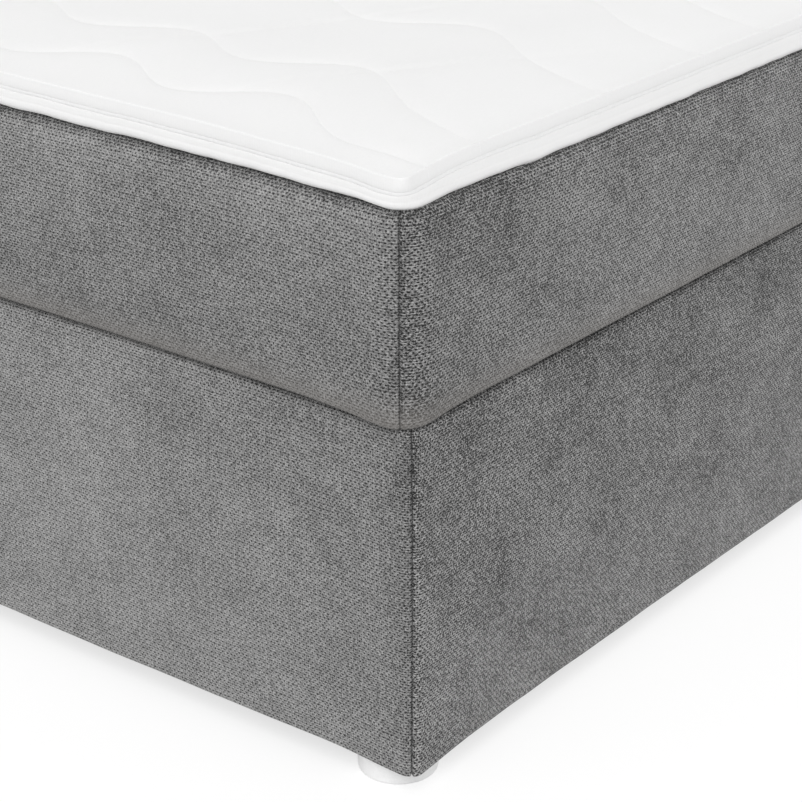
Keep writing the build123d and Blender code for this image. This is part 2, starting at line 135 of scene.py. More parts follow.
def rounded(x, y, half, radius):
    """Moves a place in the square corner of a sheet into its round corner."""
    dx, dy = abs(x) - (half.x - radius), abs(y) - (half.y - radius)
    if dx <= 0 or dy <= 0:
        return x, y
    pull = max(dx, dy) / math.hypot(dx, dy)
    return (
        math.copysign(half.x - radius + dx * pull, x),
        math.copysign(half.y - radius + dy * pull, y),
    )


print("ease", [round(ease(s / 4), 2) for s in range(5)], "bump", [round(bump(s, 1), 2) for s in range(3)])

# %% How far a loose piece lies askew
SKEW_REACH = 0.17
TOPPER_SKEW = Vector((-6, 8, 0)) * MM
MATTRESS_SKEW = Vector((-5, 2, 0)) * MM


def askew(x, y, pull):
    """How far a loosely laid piece is drawn sideways near the corner at the left of the foot end."""
    away = math.hypot(x + bed_half.x, y + bed_half.y)
    return pull * bump(away, SKEW_REACH)


print("topper askew mm", [round(v / MM, 1) for v in askew(-bed_half.x, -bed_half.y, TOPPER_SKEW)])

# %% [markdown]
# ## From a mesh to a piece
#
# Every cover is shaped as a bmesh and handed over in the same way: it rides
# on one of the bed's bodies and stands in for a piece of the model. The
# topper's pieces are grown from an open edge, one loop after another, as a
# cloth is knitted in rows. Each point carries its home, the spot on the plain
# outline that it belongs to, and each new loop is placed from there.

# %% A mesh becomes a piece of the bed
def make_piece(name, bm, body, slot, *nodes):
    """Turns a bmesh into a smooth object that rides on a body in place of nodes."""
    bmesh.ops.recalc_face_normals(bm, faces=bm.faces)
    mesh = bpy.data.meshes.new(name)
    bm.to_mesh(mesh)
    bm.free()
    piece = bpy.data.objects.new(name, mesh)
    bpy.context.scene.collection.objects.link(piece)
    mesh.shade_smooth()
    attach(piece, body)
    if nodes:
        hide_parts(*nodes)
    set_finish(piece, slot)
    print(name, "faces", len(mesh.polygons), "size mm", [round(v * 1000) for v in piece.dimensions])
    return piece


def rim(bm):
    """The open edges of a mesh."""
    return [e for e in bm.edges if e.is_boundary]


def grow(bm, edges, home, place):
    """Extrudes a loop of edges; place gives each new point's spot from its home."""
    made = bmesh.ops.extrude_edge_only(bm, edges=edges)["geom"]
    for vert in (g for g in made if isinstance(g, bmesh.types.BMVert)):
        vert.co = place(vert[home])
    return [g for g in made if isinstance(g, bmesh.types.BMEdge) and g.is_boundary]


# %% [markdown]
# ## Node maths in Python
#
# A woven pattern takes a few dozen Math nodes. Written one by one they hide
# the idea, so a small class wraps a socket: adding or multiplying two of
# them adds the node, and the finish reads like the sum that it is.

# %% A socket that does sums
class Field:
    """A number that varies over a surface: an output socket with arithmetic."""

    def __init__(self, tree, socket):
        self.tree, self.socket = tree, socket

    def maths(self, operation, *others):
        node = self.tree.nodes.new("ShaderNodeMath")
        node.operation = operation
        for entry, value in zip(node.inputs, others):
            wire(self.tree, entry, value)
        return Field(self.tree, node.outputs[0])

    def __add__(self, other):
        return self.maths("ADD", self, other)

    def __sub__(self, other):
        return self.maths("SUBTRACT", self, other)

    def __mul__(self, other):
        return self.maths("MULTIPLY", self, other)

    def __truediv__(self, other):
        return self.maths("DIVIDE", self, other)

    def __radd__(self, other):
        return self.maths("ADD", other, self)

    def __rsub__(self, other):
        return self.maths("SUBTRACT", other, self)

    def __rmul__(self, other):
        return self.maths("MULTIPLY", other, self)

    def __rtruediv__(self, other):
        return self.maths("DIVIDE", other, self)

    def floor(self):
        return self.maths("FLOOR", self)

    def fraction(self):
        return self.maths("FRACT", self)

    def cosine(self):
        return self.maths("COSINE", self)

    def size(self):
        return self.maths("ABSOLUTE", self)

    def clamp(self):
        return self.maths("MINIMUM", self.maths("MAXIMUM", self, 0.0), 1.0)

    def stepped(self, start, end):
        """Smooth step of this number between two values."""
        share = ((self - start) / (end - start)).clamp()
        return share * share * (3.0 - 2.0 * share)


def wire(tree, entry, value):
    """Links a field to an input socket, or sets a plain value on it."""
    if isinstance(value, Field):
        tree.links.new(value.socket, entry)
    else:
        entry.default_value = value


# %% A finish with its shader
class Finish:
    """A material with one Principled shader, and one method that adds any other node."""

    def __init__(self, name, **constants):
        self.material = bpy.data.materials.new(name)
        self.material.use_nodes = True
        self.tree = self.material.node_tree
        self.shader = self.tree.nodes["Principled BSDF"]
        self.feed(**constants)

    def feed(self, **values):
        """Sets or links the shader's own sockets, with _ for a space in their names."""
        for name, value in values.items():
            wire(self.tree, self.shader.inputs[name.replace("_", " ")], value)

    def node(self, kind, settings=None, output=0, places=None, **values):
        """Adds a node: its settings first, then its sockets by place or by name."""
        node = self.tree.nodes.new("ShaderNode" + kind)
        for name, value in (settings or {}).items():
            setattr(node, name, value)
        for place, value in (places or {}).items():
            wire(self.tree, node.inputs[place], value)
        for name, value in values.items():
            wire(self.tree, node.inputs[name.replace("_", " ")], value)
        return Field(self.tree, node.outputs[output])

    def split(self, vector):
        """The two first parts of a vector as numbers."""
        node = self.tree.nodes.new("ShaderNodeSeparateXYZ")
        wire(self.tree, node.inputs[0], vector)
        return Field(self.tree, node.outputs[0]), Field(self.tree, node.outputs[1])

    def joined(self, x, y):
        return self.node("CombineXYZ", X=x, Y=y)

    def noise(self, vector, scale, detail=2.0, output=0):
        return self.node("TexNoise", {}, output, Vector=vector, Scale=scale, Detail=detail)

    def tint(self, factor, dark, light):
        """Colour between two tones by a number."""
        return self.node("Mix", {"data_type": "RGBA"}, 2, {0: factor, 6: dark, 7: light})

    def drifted(self, vector, scale, amount):
        """A place moved about by a soft noise, so that a regular pattern wanders."""
        drift = self.noise(vector, scale, 2.0, 1)
        return self.node("VectorMath", {"operation": "MULTIPLY_ADD"}, 0, {0: drift, 1: amount, 2: vector})

    def relief(self, height, depth, strength=1.0):
        """Bumps the surface by a height between 0 and 1, times a depth in metres."""
        bumped = self.node("Bump", Height=height, Distance=depth, Strength=strength)
        self.feed(Normal=bumped)


def grey(level, warm=0.0):
    """A neutral tone, a little warmer where asked."""
    return (level * (1 + warm), level, level * (1 - warm), 1.0)


print("a warm grey", [round(part, 2) for part in grey(0.5, 0.1)])

# %% [markdown]
# ## The woven cloth
#
# Box and mattress wear a coarse chenille. Seen close, it is rows of short
# fat stitches, 2.6 mm apart, with a dark groove between them. Small pits lie
# in the grooves, 5 mm apart, deep ones in every other groove and shallow
# ones, shifted by half a stitch, in those between. The pattern is drawn on
# the cloth's own UV map, in metres, so that it follows the cloth round every
# edge. A photograph of cloth could not do that without a repeat showing
# somewhere on two metres of bed.
#
# Three values on the cloth's points steer the finish. The first is painted
# shade and light: it makes the cloth paler or darker by height, and darker
# beside the seams, near the corners and under the upper edge, where shade
# falls, with deeper pits there. Where the weave is loose, its pits are deeper
# and its tufts rougher. The third is painted light from the floor along the
# mattress's lower edge, which makes the cloth there plainer, paler and warmer.

# %% Chenille weave
STITCH_ROW = 2.62 * MM
STITCH_PITCH = 5.0 * MM
STITCH_DEPTH = 1.0 * MM
PIT_LONG, PIT_TALL = 0.21, 0.36
PIT_ASIDE, PIT_ALOFT = 0.22, 0.20
GROOVE_EDGES = (0.06, 0.34)
CLOTH_DRIFT, DRIFT_SCALE = (0.0012, 0.0008, 0), 55.0
FIBRE_SCALE, PATCH_SCALE, CLOUD_SCALE = 800.0, 40.0, 9.0
DEEP_TONE = grey(0.018)
PALE_TONE = grey(0.50, 0.006)
# Paler, warmer tone of the painted light from the floor on the mattress's lower edge.
FLOOR_LIT_TONE = grey(0.225, 0.06)


def woven_cloth():
    cloth = Finish("grey_chenille", Roughness=0.92, Sheen_Weight=0.12, Sheen_Roughness=0.45)
    cloth.feed(Specular_IOR_Level=0.25)
    flat = cloth.node("UVMap", {"uv_map": "cloth"})
    # Painted shade and light on each point: above nought darker, below it paler.
    painted_shade_amount = cloth.node("Attribute", {"attribute_name": "painted_shade"}, 2)
    loose = cloth.node("Attribute", {"attribute_name": "loose"}, 2)
    # Painted light from the floor along the mattress's lower edge.
    painted_floor_light = cloth.node("Attribute", {"attribute_name": "painted_floor_light"}, 2)
    across, up = cloth.split(cloth.drifted(flat, DRIFT_SCALE, CLOTH_DRIFT))
    rows = up / STITCH_ROW
    row = rows.floor()
    shallow = 2.0 * (0.5 * row).fraction()
    along = across / STITCH_PITCH + 0.5 * row
    column = along.floor()
    chance = cloth.node("TexWhiteNoise", {"noise_dimensions": "2D"}, Vector=cloth.joined(column, row))
    aside = cloth.node("TexWhiteNoise", {"noise_dimensions": "2D"}, Vector=cloth.joined(row, column))
    from_pit = (along.fraction() - 0.5 + PIT_ASIDE * (aside - 0.5)) / PIT_LONG
    from_row = (rows.fraction() - 0.5 + PIT_ALOFT * (chance - 0.5)) / PIT_TALL
    spread = from_pit * from_pit + from_row * from_row
    pit = (1.0 - spread.stepped(0.0, 1.15)) * (0.55 + 0.6 * chance) * (1.0 - 0.55 * shallow)
    groove = (1.0 - (rows.fraction() - 0.5).size().stepped(*GROOVE_EDGES)) * (1.0 - 0.35 * shallow)
    stitch = cloth.joined((2.0 * along).floor(), row)
    yarn = cloth.node("TexWhiteNoise", {"noise_dimensions": "2D"}, Vector=stitch)
    fibre = cloth.noise(cloth.joined(across * 0.8, up * 1.15 + 0.1 * across), FIBRE_SCALE)
    clouds = cloth.noise(flat, CLOUD_SCALE)
    patches = cloth.noise(cloth.joined(across * 0.8, up), PATCH_SCALE)
    tone = 0.56 + (2.0 * (fibre - 0.5) + 0.30 * (yarn - 0.5)) * (1.0 + 0.8 * loose) - 0.15 * groove
    tone = tone + (0.36 * (clouds - 0.5) + 0.20 * (patches - 0.5)) * (1.0 + 0.4 * loose)
    # The painted shade darkens the cloth and deepens its pits.
    tone = tone - pit * (1.05 + 0.45 * painted_shade_amount) * (1.0 + 1.6 * loose) - 0.22 * painted_shade_amount
    plain = cloth.tint(tone.clamp(), DEEP_TONE, PALE_TONE)
    # The painted floor light blends in a paler, warmer and plainer tone.
    cloth.feed(Base_Color=cloth.tint(0.6 * painted_floor_light, plain, FLOOR_LIT_TONE))
    height = 0.45 * (1.0 - groove) + 0.45 * fibre - 1.2 * pit * (1.0 + loose)
    cloth.relief(height, STITCH_DEPTH, 0.8)
    return cloth.material


chenille = woven_cloth()
print(chenille.name, "nodes", len(chenille.node_tree.nodes))

# %% [markdown]
# ## The knitted cover of the topper
#
# The topper is white, and nearly all of what is seen on it is shape. Its
# knit shows only as very fine ribs when the light grazes it, so the finish
# is a pale tone with a shallow relief on the object's own coordinates. Two
# things are added where the thread works on the cloth. On the top, a seam of
# thread and needle holes runs along each stitched line, with fine gathers
# beside it. Round the border, the strips are drawn into fine level ribs. The
# border is also given a paler tone than the top as painted light, so that its
# sides, which catch less light, come out nearly as bright as the top.

# %% White knit
RIB = 1.6 * MM
STITCH = 3.4 * MM
THREAD = 0.45 * MM
GATHERS = 0.014
KNIT_DEPTH = 0.25 * MM


def white_knit(name, dark, light, stitched):
    knit = Finish(name, Roughness=0.88, Sheen_Weight=0.1, Sheen_Roughness=0.5)
    knit.feed(Specular_IOR_Level=0.2, Subsurface_Weight=0.3, Subsurface_Scale=5 * MM)
    knit.feed(Subsurface_Radius=(1, 1, 1))
    place = knit.node("TexCoord", {}, 3)
    x, y = knit.split(place)
    ribs = ((x + y * 0.15) / RIB * math.tau).cosine()
    courses = (y / (RIB * 1.3) * math.tau).cosine()
    fuzz = knit.noise(place, 420.0, 3.0)
    clouds = knit.noise(place, 9.0, 2.0)
    tone = 0.6 + 0.10 * ribs * courses + 0.5 * (fuzz - 0.5) + 0.3 * (clouds - 0.5)
    height = 0.5 + 0.25 * ribs * courses + 0.5 * fuzz
    if stitched:
        aside, run = knit.split(knit.node("UVMap", {"uv_map": "quilt"}))
        aside = (aside - 1.0).size()
        thread = 1.0 - aside.stepped(0.5 * THREAD, 1.6 * THREAD)
        beat = ((run / STITCH).fraction() - 0.5).size()
        hole = thread * beat.stepped(0.38, 0.46)
        gather = knit.noise(knit.joined(aside * 0.12, run), 260.0, 2.0)
        near = 1.0 - aside.stepped(0.0, GATHERS)
        tone = tone + 0.3 * thread - 1.1 * hole
        height = height + 1.6 * near * (gather - 0.5) + 0.5 * thread * (1.0 - hole)
    else:
        drawn = knit.noise(knit.node("Mapping", Vector=place, Scale=(4.0, 4.0, 420.0)), 1.0, 2.0)
        tone = tone + 0.7 * (drawn - 0.5)
        height = height + 1.6 * (drawn - 0.5)
    knit.feed(Base_Color=knit.tint(tone.clamp(), dark, light))
    knit.relief(height, KNIT_DEPTH, 0.5)
    return knit.material


top_knit = white_knit("white_quilted_knit", grey(0.84, 0.003), grey(0.925), True)
# The border knit is paler than the top's, as painted light, so that its less lit sides come out nearly as
# bright as the top.
border_knit_painted_paler = white_knit("white_border_knit_painted_paler", grey(0.87, 0.004), grey(0.94, 0.002), False)
print("knits", top_knit.name, border_knit_painted_paler.name)

# %% [markdown]
# ## Plain finishes
#
# What the covers hide is finished too, because the mattress and the topper
# lift off: dark base cloth, felt, foam, timber, wire and zinc, white
# moulded feet and a nickel zip. One function serves several of them, with
# its own tones and grain.

# %% Finishes of the smaller pieces
def grained(name, dark, light, size, depth, rough, stretch=(1, 1, 1), metallic=0.0):
    """A finish whose tone and relief vary with one noise, stretched along an axis."""
    finish = Finish(name, Metallic=metallic)
    place = finish.node("TexCoord", {}, 3)
    scaled = finish.node("Mapping", Vector=place, Scale=tuple(s / size for s in stretch))
    grain = finish.noise(scaled, 1.0, 4.0)
    broad = finish.noise(scaled, 0.13, 2.0)
    mixed = (0.65 * grain + 0.35 * broad).stepped(0.3, 0.7)
    finish.feed(Base_Color=finish.tint(mixed, dark, light))
    finish.feed(Roughness=rough + 0.15 * (grain - 0.5))
    finish.relief(grain, depth)
    return finish.material


finishes = {
    "pine": grained("pine", (0.50, 0.31, 0.15, 1), (0.74, 0.54, 0.32, 1), 9 * MM, 0.2 * MM, 0.6, (8, 0.4, 8)),
    "zinc_steel": grained("zinc", grey(0.5), grey(0.66), 3 * MM, 0.03 * MM, 0.32, metallic=1.0),
    "foot_white": grained("white_moulding", grey(0.96), grey(0.99), 1.2 * MM, 0.05 * MM, 0.42),
    "spring_steel": grained("spring_wire", grey(0.30), grey(0.46), 6 * MM, 0.02 * MM, 0.3, metallic=1.0),
    "felt": grained("felt", grey(0.22), grey(0.42), 2.5 * MM, 0.6 * MM, 0.95),
    "foam": grained("foam", (0.72, 0.68, 0.52, 1), (0.84, 0.81, 0.67, 1), 1.5 * MM, 0.5 * MM, 0.9),
    "wadding": grained("wadding", grey(0.75), grey(0.9), 5 * MM, 1.2 * MM, 0.95),
    "pocket_fabric": grained("pocket_cloth", grey(0.7), grey(0.85), 1.0 * MM, 0.2 * MM, 0.85),
    "platform_fabric": grained("platform_cloth", grey(0.030), grey(0.075), 0.9 * MM, 0.25 * MM, 0.9),
    "dust_cover": grained("dust_cloth", grey(0.012), grey(0.035), 1.3 * MM, 0.2 * MM, 0.85),
    "mattress_knit": grained("pale_knit", grey(0.60), grey(0.70), 1.1 * MM, 0.25 * MM, 0.9),
    "zip_tape": grained("zip_tape", grey(0.86), grey(0.93), 0.7 * MM, 0.15 * MM, 0.8),
    "zip_metal": grained("nickel", grey(0.34), grey(0.48), 1.5 * MM, 0.02 * MM, 0.24, metallic=1.0),
    "grey_weave": chenille,
    "topper_quilt": top_knit,
}
print("finishes", len(finishes))

# %% [markdown]
# ## Where the quilting runs
#
# Nine stitched lines run the length of the topper, side by side, and all
# swing together: a short wave about every 210 mm, and a deep sway to one
# side every fourth wave. The sheet's columns of points follow the lines
# exactly, so that a crease is as sharp as thread pulls it, with no jagged
# steps, and most of the columns can be spent close to the stitching.

# %% The stitched lines
LINES = sorted([-0.015] + [side * v for v in (0.599, 0.495, 0.306, 0.136) for side in (-1, 1)])
ASIDE = -0.020
WAVE = 0.209
WAVE_SWING = 0.023
SWAY_REPEAT = 4 * WAVE
SWAY = 0.100
SWAY_WIDTH = 0.085
OUTER_SWAY = 0.65
FIRST_CREST = 0.216
BESIDE = (0.0, 0.0015, 0.0035, 0.007, 0.012, 0.019, 0.028)
OPEN_STEP = 0.013
ROW_STEP = 0.0055


def swing(column, y):
    """How far a line that belongs at this column stands aside at y; the outermost sway less."""
    run = y + topper_half.y
    far = (run + SWAY_REPEAT / 2) % SWAY_REPEAT - SWAY_REPEAT / 2
    wave = WAVE_SWING * math.cos(math.tau * (run - FIRST_CREST) / WAVE)
    outer = ease((abs(column) - LINES[-2]) / (LINES[-1] - LINES[-2]))
    return ASIDE + wave - SWAY * (1 - (1 - OUTER_SWAY) * outer) * bump(far, SWAY_WIDTH)


def places_between(start, end, step):
    """Places from one line to the next, crowded beside both of them."""
    spare = end - start - 2 * BESIDE[-1]
    count = max(1, round(spare / step))
    middle = [start + BESIDE[-1] + spare * i / count for i in range(1, count)]
    return [start + b for b in BESIDE] + middle + [end - b for b in reversed(BESIDE[1:])]


stops = [-topper_half.x] + LINES + [topper_half.x]
columns = [p for a, b in zip(stops, stops[1:]) for p in places_between(a, b, OPEN_STEP)]
columns.append(topper_half.x)
rows = places_between(-topper_half.y, topper_half.y, ROW_STEP) + [topper_half.y]
print("columns", len(columns), "rows", len(rows))


def swung(column, y):
    """Place across the bed of a column of points at y, fading to the borders."""
    first, last = LINES[0], LINES[-1]
    share = 1.0
    if column < first:
        share = (column + topper_half.x) / (first + topper_half.x)
    elif column > last:
        share = (topper_half.x - column) / (topper_half.x - last)
    return column + swing(column, y) * share


# %% [markdown]
# ## The quilted top
#
# The top is one sheet that rises from the border to a low crown. Thread
# draws it down along the stitched lines, the filling swells between them,
# and soft folds run slantwise from the crest of one line to the hollow of
# the next. Near the thread the cloth gathers in small puckers. The seam at
# the edge stands up as a fine bead. The edges hang a little and the corners
# more, because the foam has nothing beside it there to hold it up.

# %% Height of the top
CROWN_RUN = 0.160
SEAM_SINK = 2.4 * MM
SEAM_RUN = 9 * MM
FOLD = 1.9 * MM
FOLD_WIDTH = 0.0035
FIRST_FOLD = 0.265
FOLD_SLANT = 0.36
CORNER_SINK = 5.2 * MM
CORNER_SLOPE = 3.2 * MM
EDGE_SINK = 1.2 * MM
EDGE_BEAD = 0.4 * MM
EDGE_REACH = 0.035
BEAD_WIDTH = 2.5 * MM
EDGE_SHARE = 0.45
TIP_REACH = (0.045, 0.050)
SLOPE_REACH = (0.09, 0.30)
GATHER, GATHER_SIZE, GATHER_REACH = 0.45 * MM, 0.011, 0.016
SWELL, SWELL_SIZE = 0.8 * MM, 0.085
ABOVE_ZIP = 13 * MM
zip_low = slot_bottom - topper_bottom
zip_high = slot_top - topper_bottom
border_height = zip_high + ABOVE_ZIP


def edge_sink(x, y, share=1.0):
    """How far the edge hangs, more so at the corners: share is 1 at the seam and 0 at the underside."""
    to_side, to_end = topper_half.x - abs(x), topper_half.y - abs(y)
    inside = max(min(to_side, to_end), 0)
    hang = EDGE_SINK * (1 + 0.5 * uneven(x, y, 6.1, 0.2)) * bump(inside, EDGE_REACH)
    tip = CORNER_SINK * (0.5 + 0.5 * share) * bump(to_side, TIP_REACH[0]) * bump(to_end, TIP_REACH[1])
    slope = CORNER_SLOPE * share * bump(to_side, SLOPE_REACH[0]) * bump(to_end, SLOPE_REACH[1])
    return hang + tip + slope


def crown(x, y):
    """Rise of the top above its border, from 0 at the edge to 1."""
    return ease(min(topper_half.x - abs(x), topper_half.y - abs(y)) / CROWN_RUN)


def fold(column, y):
    """Share of the soft folds that run slantwise over the bed from line to line."""
    run = y + topper_half.y
    index = max(i for i, line in enumerate(LINES[:-1]) if line <= column or i == 0)
    share = (column - LINES[index]) / (LINES[index + 1] - LINES[index])
    if not 0 <= share <= 1:
        return 0.0
    away = (run - FIRST_FOLD + (index + share) * FOLD_SLANT * WAVE + WAVE / 2) % WAVE - WAVE / 2
    return bump(away, FOLD_WIDTH) - 0.5 * bump(away - 2.2 * FOLD_WIDTH, 2 * FOLD_WIDTH)


def top_height(column, x, y):
    """Height of the topper's top above its underside."""
    nearest = min(abs(column - line) for line in LINES)
    steep = (swing(column, y + MM) - swing(column, y - MM)) / (2 * MM)
    nearest /= math.hypot(1, steep)
    puff = 1 - math.exp(-nearest / SEAM_RUN)
    lift = crown(x, y)
    rise = (topper_top - topper_bottom - border_height) * lift
    edge = EDGE_SHARE + (1 - EDGE_SHARE) * min(3 * lift, 1)
    sink = SEAM_SINK * (1 - puff) * edge + FOLD * fold(column, y) * puff * lift
    pucker = uneven(x * 0.6, y, 3.1, GATHER_SIZE) * bump(nearest, GATHER_REACH) * GATHER
    pucker += uneven(x, y, 7.7, SWELL_SIZE) * SWELL * lift
    inside = min(topper_half.x - abs(x), topper_half.y - abs(y))
    bead = EDGE_BEAD * (1 - math.exp(-max(inside, 0) / BEAD_WIDTH))
    return border_height + rise - bead - sink + pucker - edge_sink(x, y)


print("top mm", [round(top_height(x, x, 0) / MM, 1) for x in (0.0, 0.2, topper_half.x)])

# %% [markdown]
# ## The border of the topper
#
# Round the side, the cover is two strips with a zip between them. Each strip
# bulges a little between its seams and ripples where the thread gathers it.
# The border leans in towards its upper seam, more at the foot end than along
# the sides. The lower edge is the liveliest, because nothing holds it flat:
# it hangs down over the mattress in soft waves. At the head end the border
# lies calmer and further back, so that the zip's slider runs in front of it.
# One function moves every loop of the border alike, so that the strips and
# the zip stay together.

# %% Where a point of the border lies
TOPPER_CORNER = 26 * MM
UPPER_CORNER, LOWER_CORNER = 9 * MM, 24 * MM
TOPPER_PROUD = 3.0 * MM
SEAM_INSET = 0.4 * MM
SIDE_LEAN, FOOT_LEAN = 1.5 * MM, 5.0 * MM
LEAN_FROM = 0.2
FOOT_RISE = 1.4 * MM
SIDE_HANG, END_HANG = 3.2 * MM, 5.0 * MM
WANDER, WANDER_SIZE = 0.9 * MM, 0.17
RIPPLE, RIPPLE_SIZE = 0.7 * MM, 0.019
WAVER, WAVER_SIZE = 0.8 * MM, 0.14
FLUTTER, FLUTTER_SIZE = 1.0 * MM, 0.031
SCALLOP, SCALLOP_SIZE = 1.4 * MM, 0.09
HEAD_TUCK, HEAD_CALM = 1.4, 0.8
FOOT_FLUSH, FACE_DEPTH = 0.6, 1.5 * MM
COVER_WALL = 4 * MM


def corner_radius(height):
    """The corners are nearly sharp at the upper seam and round further down."""
    return UPPER_CORNER + (LOWER_CORNER - UPPER_CORNER) * ease((border_height - height) / border_height)


def on_outline(home, radius):
    """The point of an outline with this corner radius that belongs to a home."""
    out = turned(home.x, home.y, topper_half, TOPPER_CORNER)
    square = 1 / max(abs(out.x), abs(out.y)) - 1
    return rounded(*(home + out * TOPPER_CORNER * square).xy, topper_half, radius)


def shifted_border(home, inset, height):
    """Place of a border point with this home, this far in and this high."""
    x, y = on_outline(home, corner_radius(height))
    out = turned(home.x, home.y, topper_half, TOPPER_CORNER)
    share = ease(height / zip_low)
    free = 1 - ease(height / border_height)
    endwise, footwards, headwards = abs(out.y), max(-out.y, 0), max(out.y, 0)
    calm = 1 - HEAD_CALM * headwards
    if inset < FACE_DEPTH:
        inset *= 1 - FOOT_FLUSH * footwards
    push = WANDER * uneven(x, y, 1.3, WANDER_SIZE)
    push += RIPPLE * uneven(x, y, 5.9, RIPPLE_SIZE) * (0.3 + 0.7 * free)
    push = push * calm - inset
    push -= (SIDE_LEAN + (FOOT_LEAN - SIDE_LEAN) * footwards) * max(height / border_height - LEAN_FROM, 0)
    push += TOPPER_PROUD * (1 - HEAD_TUCK * headwards) * ease((COVER_WALL + MM - inset) / COVER_WALL)
    hang = SIDE_HANG + (END_HANG - SIDE_HANG) * endwise
    lift = WAVER * uneven(x, y, 9.2, WAVER_SIZE) * calm
    lift += FOOT_RISE * footwards * share - hang * (1 - share)
    lift += free * FLUTTER * uneven(x, y, 2.2, FLUTTER_SIZE)
    lift += free * SCALLOP * abs(uneven(x, y, 6.6, SCALLOP_SIZE))
    place = Vector((x, y, topper_bottom + height + lift)) + out * push + askew(x, y, TOPPER_SKEW)
    place.z -= edge_sink(x, y, share)
    return place


print("border mm", round(border_height / MM, 1), "zip mm", round(zip_low / MM, 1), round(zip_high / MM, 1))

# %% [markdown]
# ## The upper half of the topper's cover
#
# A grid gives the top. Its columns are bent along the stitched lines, and
# its square corners are drawn in to round ones. Its rim is then extruded
# downwards, loop by loop, through the strip above the zip, and closed
# inside, so that the half cover is one solid shell round the foam. The
# strip's section is a row of pairs in millimetres: how far in from the
# outline, and how far above the zip.

# %% The quilted top and its strip
UPPER_STRIP = (
    (-0.15, 12.6), (-0.3, 11.8), (-0.2, 10.8), (-0.15, 9.5), (-0.25, 7.0), (-0.2, 4.0), (-0.1, 1.9),
    (0.0, 1.0), (0.05, 0.5), (0.18, 0.15), (4.0, 0.1), (4.0, 5.4),
)
BLEND_IN = 0.018


def upper_cover():
    bm = bmesh.new()
    home = bm.verts.layers.float_vector.new("home")
    quilt = bm.loops.layers.uv.new("quilt")
    across, along = len(columns) - 1, len(rows) - 1
    bmesh.ops.create_grid(bm, x_segments=across, y_segments=along, size=0.5)
    flat = {}
    for vert in bm.verts:
        column = columns[round((vert.co.x + 0.5) * across)]
        y = rows[round((vert.co.y + 0.5) * along)]
        x = swung(column, y)
        height = top_height(column, x, y)
        flat[vert] = (1 + min((column - line for line in LINES), key=abs), y)
        inside = min(topper_half.x - abs(x), topper_half.y - abs(y))
        vert[home] = Vector((*rounded(x, y, topper_half, TOPPER_CORNER), 0))
        x, y = rounded(x, y, topper_half, UPPER_CORNER)
        vert.co = Vector((x, y, topper_bottom + height)) + askew(x, y, TOPPER_SKEW)
        if inside < BLEND_IN:
            at_rim = shifted_border(vert[home], SEAM_INSET, border_height)
            on_rim = on_outline(vert[home], UPPER_CORNER)
            plain = Vector((*on_rim, topper_bottom + border_height - edge_sink(*on_rim)))
            plain += askew(*on_rim, TOPPER_SKEW)
            vert.co += (at_rim - plain) * (1 - ease(inside / BLEND_IN))
    for face in bm.faces:
        for loop in face.loops:
            loop[quilt].uv = flat[loop.vert]
    top_faces = set(bm.faces)
    edge = rim(bm)
    for inset, height in UPPER_STRIP:
        edge = grow(bm, edge, home, lambda at: shifted_border(at, inset * MM, zip_high + height * MM))
    bmesh.ops.holes_fill(bm, edges=edge)
    for face in set(bm.faces) - top_faces:
        face.material_index = 1
    bm.verts.layers.float_vector.remove(home)
    return make_piece("topper_quilted_top", bm, "topper", "topper_quilt", "topper_cover_upper")


quilted_top = upper_cover()
quilted_top.data.set_sharp_from_angle(angle=math.radians(50))

# %% [markdown]
# ## The foam inside the topper
#
# The topper lifts off, and its foam would show wherever it pressed through
# the cover. So the slab follows the cover: it has a little slack under the
# top, thins towards its edge, and is drawn askew and down at the corners as
# the cover is. It starts as a grid for the top, and its rim is grown down the
# wall and over a rounded edge.

# %% The foam slab
FOAM_CORNER = 22 * MM
FOAM_EDGE = 3 * MM
FOAM_WALL = ((0.0, 2.0), (0.0, 1.0), (0.3, 0.3), (1.0, 0.0))
FOAM_DROP = 3.5 * MM
FOAM_DROP_RUN = 0.05
FOAM_SLACK = 0.8 * MM


def foam_slab():
    """The slab of foam, thinner towards its edge and drawn askew with its cover."""
    low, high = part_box("topper_core")
    half = Vector(high[:2])
    bm = bmesh.new()
    home = bm.verts.layers.float_vector.new("home")
    bmesh.ops.create_grid(bm, x_segments=60, y_segments=84, size=0.5)
    for vert in bm.verts:
        x, y = vert.co.x * 2 * half.x, vert.co.y * 2 * half.y
        inside = min(half.x - abs(x), half.y - abs(y))
        vert[home] = Vector((*rounded(x, y, half, FOAM_CORNER), 0))
        level = high.z - FOAM_SLACK * (1 + uneven(x, y, 3.3, 0.12))
        level -= FOAM_DROP * ease(1 - inside / FOAM_DROP_RUN)
        vert.co = vert[home] + Vector((0, 0, level - edge_sink(x, y))) + askew(x, y, TOPPER_SKEW)

    def wall(at, inset, height):
        out = turned(at.x, at.y, half, FOAM_CORNER)
        return at - out * inset + Vector((0, 0, low.z + height)) + askew(at.x, at.y, TOPPER_SKEW)

    edge = rim(bm)
    for inset, height in FOAM_WALL:
        edge = grow(bm, edge, home, lambda at: wall(at, inset * FOAM_EDGE, height * FOAM_EDGE))
    bmesh.ops.holes_fill(bm, edges=edge)
    bm.verts.layers.float_vector.remove(home)
    return make_piece("topper_foam", bm, "topper", "foam", "topper_core")


foam = foam_slab()

# %% [markdown]
# ## The lower half of the cover, and the zip
#
# The lower half is a shallow tray that the foam lies in. It starts from a
# circle of points laid out along the topper's outline, closely enough for
# the ripples, and grows through its section: down the inner wall, over the
# edge, and round underneath. The zip is a ring of tape with a bead of coil
# teeth, set back between the two halves. Both sections are pairs in
# millimetres again: how far in, and how far above the underside of the
# topper or, for the zip, above its own lower edge.

